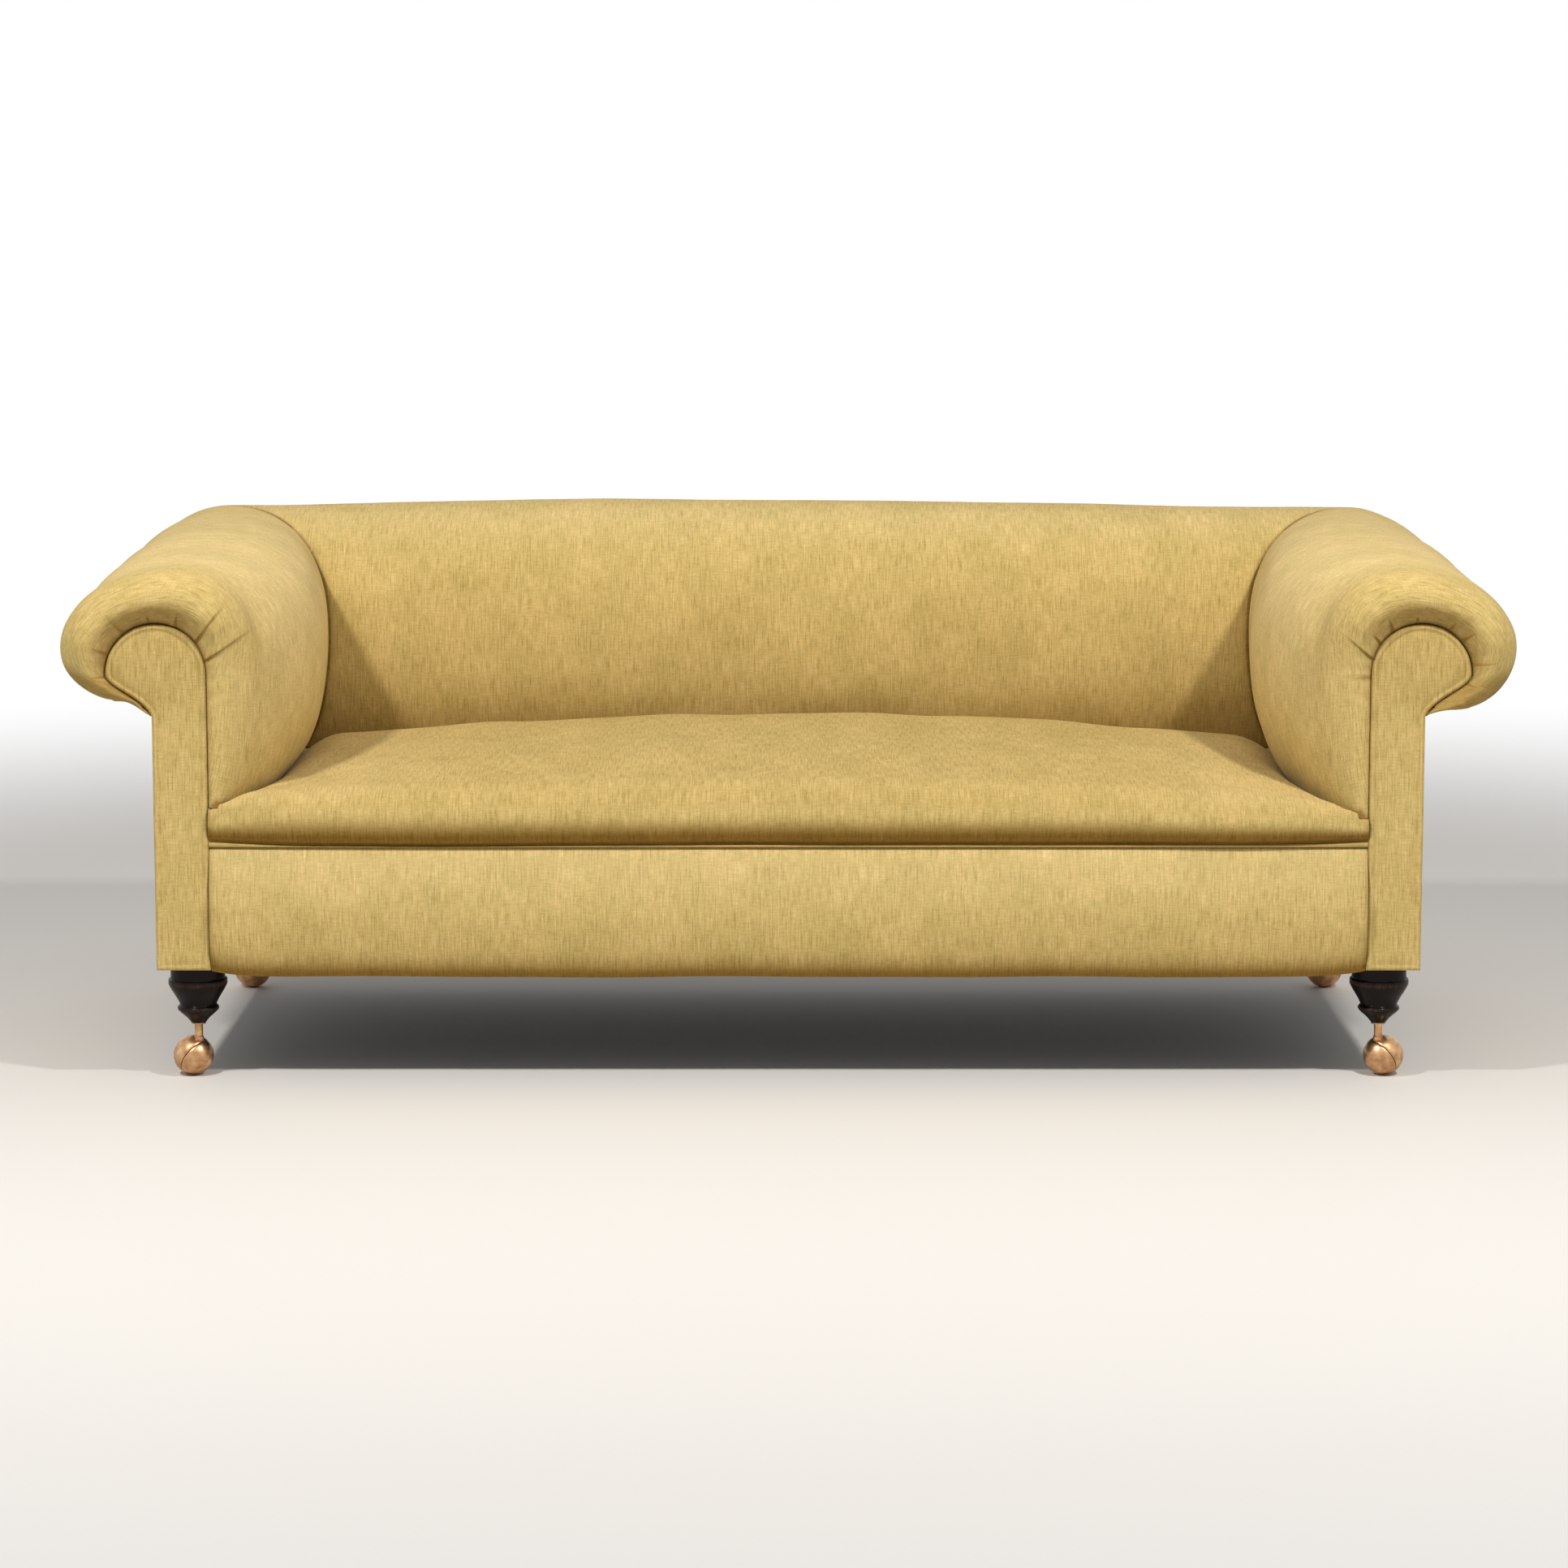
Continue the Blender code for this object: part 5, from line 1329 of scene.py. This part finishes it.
# Castor: wall of the hollow ball, its hub and bore, the plane of its split and half the split's gap
BALL_WALL = 0.0035
HUB_RADIUS = 0.007
HUB_SHORT = 0.00025
AXLE_BORE = 0.0033
AXLE_BORE_END = 0.0164
BALL_BEVEL = 0.0006
SPLIT = 0.0045
SPLIT_GAP = 0.0005
AXLE_RADIUS = 0.0029
AXLE_HALF = 0.016
BOSS_RADIUS = 0.0065
BOSS_DEPTH = 0.0075
BEVEL = 0.0005
STEM_HOLE = 0.0047
STEM_HOLE_FLOOR = 0.0042
STEM_FOOT_RADIUS = 0.0042
STEM_FOOT = 0.0079
STEM_RADIUS = 0.0055
STEM_TOP = 0.113
SOCKET_BORE = 0.00602
SOCKET_RADIUS = 0.0078
SOCKET_TOP = 0.119
FLANGE_RADIUS = 0.0098
FLANGE_THICKNESS = 0.0015


def make_legs():
    height = LEG_TOP - LEG_BOTTOM
    turned = smooth_line([(r * LEG_RADIUS, LEG_BOTTOM + h * height) for r, h in LEG_TURNING], 110)
    bore_top = LEG_BOTTOM + LEG_BORE_DEPTH
    profile = [(0, bore_top), (LEG_BORE, bore_top), (LEG_BORE, LEG_BOTTOM), *turned]
    profile += rod(TENON_RADIUS, LEG_TOP, LEG_TOP + TENON_LENGTH)[1:]
    mesh = lathe_mesh("leg", profile, 72)
    share = (np.array([vert.co.z for vert in mesh.vertices]) - LEG_BOTTOM) / height
    mark(mesh, "worn", np.max([wear * bell(share - at, width) for at, width, wear in LEG_RINGS], axis=0))
    for corner, (side, depth) in CORNERS.items():
        copy = mesh.copy()
        copy.transform(Matrix.Translation((x_at(side, LEG_INSET), y_at(depth), 0)))
        place("turned_leg_" + corner, copy, "ebonised_wood", "leg_" + corner)


def rod(radius, low, high):
    """Profile of a plain rod along Z."""
    return [(0, low), (radius, low), (radius, high), (0, high)]


def ball_arc(radius, start, end, steps):
    first = math.acos(start / radius)
    last = math.acos(end / radius)
    angles = [mix(first, last, step / steps) for step in range(steps + 1)]
    return [(radius * math.sin(angle), radius * math.cos(angle)) for angle in angles]


def half_ball(split):
    """Hollow cap of a castor's ball above its split, with a bored hub."""
    inside = BALL_RADIUS - BALL_WALL
    outer = ball_arc(BALL_RADIUS, BALL_RADIUS, split, 30)
    edge = (outer[-1][0] - BALL_BEVEL, split)
    inner = ball_arc(inside, split, math.sqrt(inside**2 - HUB_RADIUS**2), 16)
    hub_end = split - HUB_SHORT
    hub = [(HUB_RADIUS, hub_end), *rod(AXLE_BORE, hub_end, AXLE_BORE_END)[1:]]
    return [(0, BALL_RADIUS), *outer[1:-1], edge, *inner, *hub]


def castor_meshes():
    """The turned pieces of a castor under the origin, by kind, heading along +X."""
    turn = math.atan2(-math.cos(AXLE_TILT), -math.sin(AXLE_TILT))
    on_axle = Matrix.Translation((TRAIL, 0, BALL_HEIGHT)) @ Matrix.Rotation(turn, 4, "Y")
    top = BALL_HEIGHT + BALL_RADIUS
    hood = lathe_mesh("hood", half_ball(SPLIT_GAP - SPLIT))
    hood.transform(on_axle @ Matrix.Rotation(math.pi, 4, "X"))
    boss = rod(BOSS_RADIUS, top - BOSS_DEPTH, top - BEVEL)[:3] + [(BOSS_RADIUS - BEVEL, top), (0, top)]
    hole = rod(STEM_HOLE, BALL_HEIGHT + STEM_HOLE_FLOOR, top + 0.01)
    tools = [("UNION", lathe_mesh("boss", boss)), ("DIFFERENCE", lathe_mesh("hole", hole))]
    hood = joined_mesh("hood", hood, tools)
    wheel = lathe_mesh("wheel", half_ball(SPLIT + SPLIT_GAP))
    wheel.transform(on_axle)
    axle = lathe_mesh("axle", rod(AXLE_RADIUS, -AXLE_HALF, AXLE_HALF), 32)
    axle.transform(on_axle)
    stem = rod(STEM_FOOT_RADIUS, top - STEM_FOOT, top + GAP)[:3] + rod(STEM_RADIUS, top + GAP, STEM_TOP)[1:]
    flange_top = LEG_BOTTOM - GAP
    flange_low = flange_top - FLANGE_THICKNESS
    socket = rod(SOCKET_BORE, STEM_TOP + GAP, flange_low)[:3]
    socket += [(FLANGE_RADIUS - BALL_BEVEL, flange_low), (FLANGE_RADIUS, flange_low + BEVEL)]
    socket += [(FLANGE_RADIUS, flange_top), *rod(SOCKET_RADIUS, flange_top, SOCKET_TOP)[1:]]
    return {
        "socket": lathe_mesh("socket", socket, 40),
        "stem": lathe_mesh("stem", stem, 40),
        "hood": hood,
        "axle": axle,
        "wheel": wheel,
    }


def make_castors():
    meshes = castor_meshes()
    for corner, (side, depth) in CORNERS.items():
        at = Matrix.Translation((x_at(side, LEG_INSET), y_at(depth), 0))
        turned = at @ Matrix.Rotation(math.radians(HEADINGS[corner]), 4, "Z")
        bodies = {"socket": "sofa", "wheel": "wheel_" + corner}
        for kind, mesh in meshes.items():
            copy = mesh.copy()
            copy.transform(at if kind == "socket" else turned)
            body = bodies.get(kind, "castor_" + corner)
            place(f"{kind}_{corner}", copy, "copper_brass", f"castor_{kind}_{corner}", body)


# Stage

FLOOR_REACH = 40.0
FLOOR_PALE = (0.78, 0.765, 0.74, 1.0)
FLOOR_ROUGHNESS = 0.7
FLOOR_FADE = (1.7, 4.2)
LAMP_PLACE = (1.5, -1.85, 2.45)
LAMP_AIM = (0.25, 0.0, 0.40)
LAMP_SIZE = 0.22
LAMP_POWER = 48
LAMP_COLOUR = (1.0, 0.965, 0.92)
DOME_HORIZON = (0.12, 0.118, 0.115)
DOME_ZENITH = (0.50, 0.49, 0.48)
CAMERA_DISTANCE = 5.8
CAMERA_HEIGHT = 1.2195
CAMERA_PITCH = 8.0
CAMERA_LENS = 101.8
CAMERA_SENSOR = 36
CAMERA_SIGHT = 100
IMAGE_SIDE = 1932
SOFA_MIDDLE_PIXEL = 971.5


def make_stage():
    """A pale floor that keeps the shadow and melts into the white backdrop further off."""
    mesh = bpy.data.meshes.new("floor")
    low, high = -FLOOR_REACH, FLOOR_REACH
    mesh.from_pydata([(low, low, 0), (high, low, 0), (high, high, 0), (low, high, 0)], [], [(0, 1, 2, 3)])
    made, tree = new_material("pale_floor")
    finish_material(made, {"Base Color": FLOOR_PALE, "Roughness": FLOOR_ROUGHNESS})
    away = add(tree, "VectorMath", {0: object_places(tree)}, operation="LENGTH").outputs["Value"]
    values = {0: away, 1: FLOOR_FADE[0], 2: FLOOR_FADE[1]}
    fade = add(tree, "MapRange", values, interpolation_type="SMOOTHSTEP").outputs[0]
    seen = add(tree, "LightPath").outputs["Is Camera Ray"]
    share = math_node(tree, "MULTIPLY", fade, seen)
    white = add(tree, "Emission", {"Color": WHITE, "Strength": 1.0}).outputs[0]
    plain = tree.nodes["Principled BSDF"].outputs[0]
    both = add(tree, "MixShader", {0: share, 1: plain, 2: white}).outputs[0]
    feed(tree, tree.nodes["Material Output"], {"Surface": both})
    mesh.materials.append(made)
    linked("floor", mesh)


def make_light():
    """Two soft lamps in front on the left and right, under a dome that is brighter overhead."""
    world = bpy.data.worlds.new("studio")
    world.use_nodes = True
    sky = world.node_tree
    fill = sky.nodes["Background"]
    direction = add(sky, "TexCoord").outputs["Generated"]
    rise = add(sky, "SeparateXYZ", {0: direction}).outputs["Z"]
    feed(sky, fill, {"Color": ramp(sky, rise, (0.0, DOME_HORIZON), (1.0, DOME_ZENITH))})
    backdrop = add(sky, "Background", {"Color": WHITE, "Strength": 1.0})
    path = add(sky, "LightPath").outputs
    seen = math_node(sky, "MAXIMUM", path["Is Camera Ray"], path["Is Glossy Ray"])
    seen = math_node(sky, "MAXIMUM", seen, path["Is Transmission Ray"])
    both = add(sky, "MixShader", {0: seen, 1: fill.outputs[0], 2: backdrop.outputs[0]}).outputs[0]
    feed(sky, sky.nodes["World Output"], {"Surface": both})
    bpy.context.scene.world = world

    for label, side in SIDES.items():
        lamp = bpy.data.lights.new("lamp_" + label, "AREA")
        lamp.shape = "DISK"
        lamp.size = LAMP_SIZE
        lamp.energy = LAMP_POWER
        lamp.color = LAMP_COLOUR
        holder = linked("lamp_" + label, lamp)
        holder.location = (side * LAMP_PLACE[0], *LAMP_PLACE[1:])
        aim = Vector((side * LAMP_AIM[0], *LAMP_AIM[1:]))
        holder.rotation_euler = (holder.location - aim).to_track_quat("Z", "Y").to_euler()


def make_camera():
    data = bpy.data.cameras.new("camera")
    data.lens = CAMERA_LENS
    data.sensor_width = CAMERA_SENSOR
    data.shift_x = -(SOFA_MIDDLE_PIXEL - IMAGE_SIDE / 2) / IMAGE_SIDE
    data.clip_end = CAMERA_SIGHT
    camera = linked("camera", data)
    camera.location = (0, y_at(-CAMERA_DISTANCE), CAMERA_HEIGHT)
    camera.rotation_euler = (math.radians(90 - CAMERA_PITCH), 0, 0)
    bpy.context.scene.camera = camera


def finish_nodes():
    """Gives the CAD nodes their finish by the record's material slot."""
    for row in frame["record"]["subparts"]:
        node = frame["nodes"][row["node"]]
        node.data.materials.clear()
        node.data.materials.append(FINISHES[row["material_slot"]])


def main():
    make_camera()
    finish_nodes()
    for label, side in SIDES.items():
        make_arm(label, side)
        make_facing(label, side)
    make_back()
    make_seat()
    make_border()
    make_piping()
    make_outside()
    make_dust_cover()
    make_legs()
    make_castors()
    make_stage()
    make_light()
    bpy.context.scene.view_settings.view_transform = "Standard"


main()
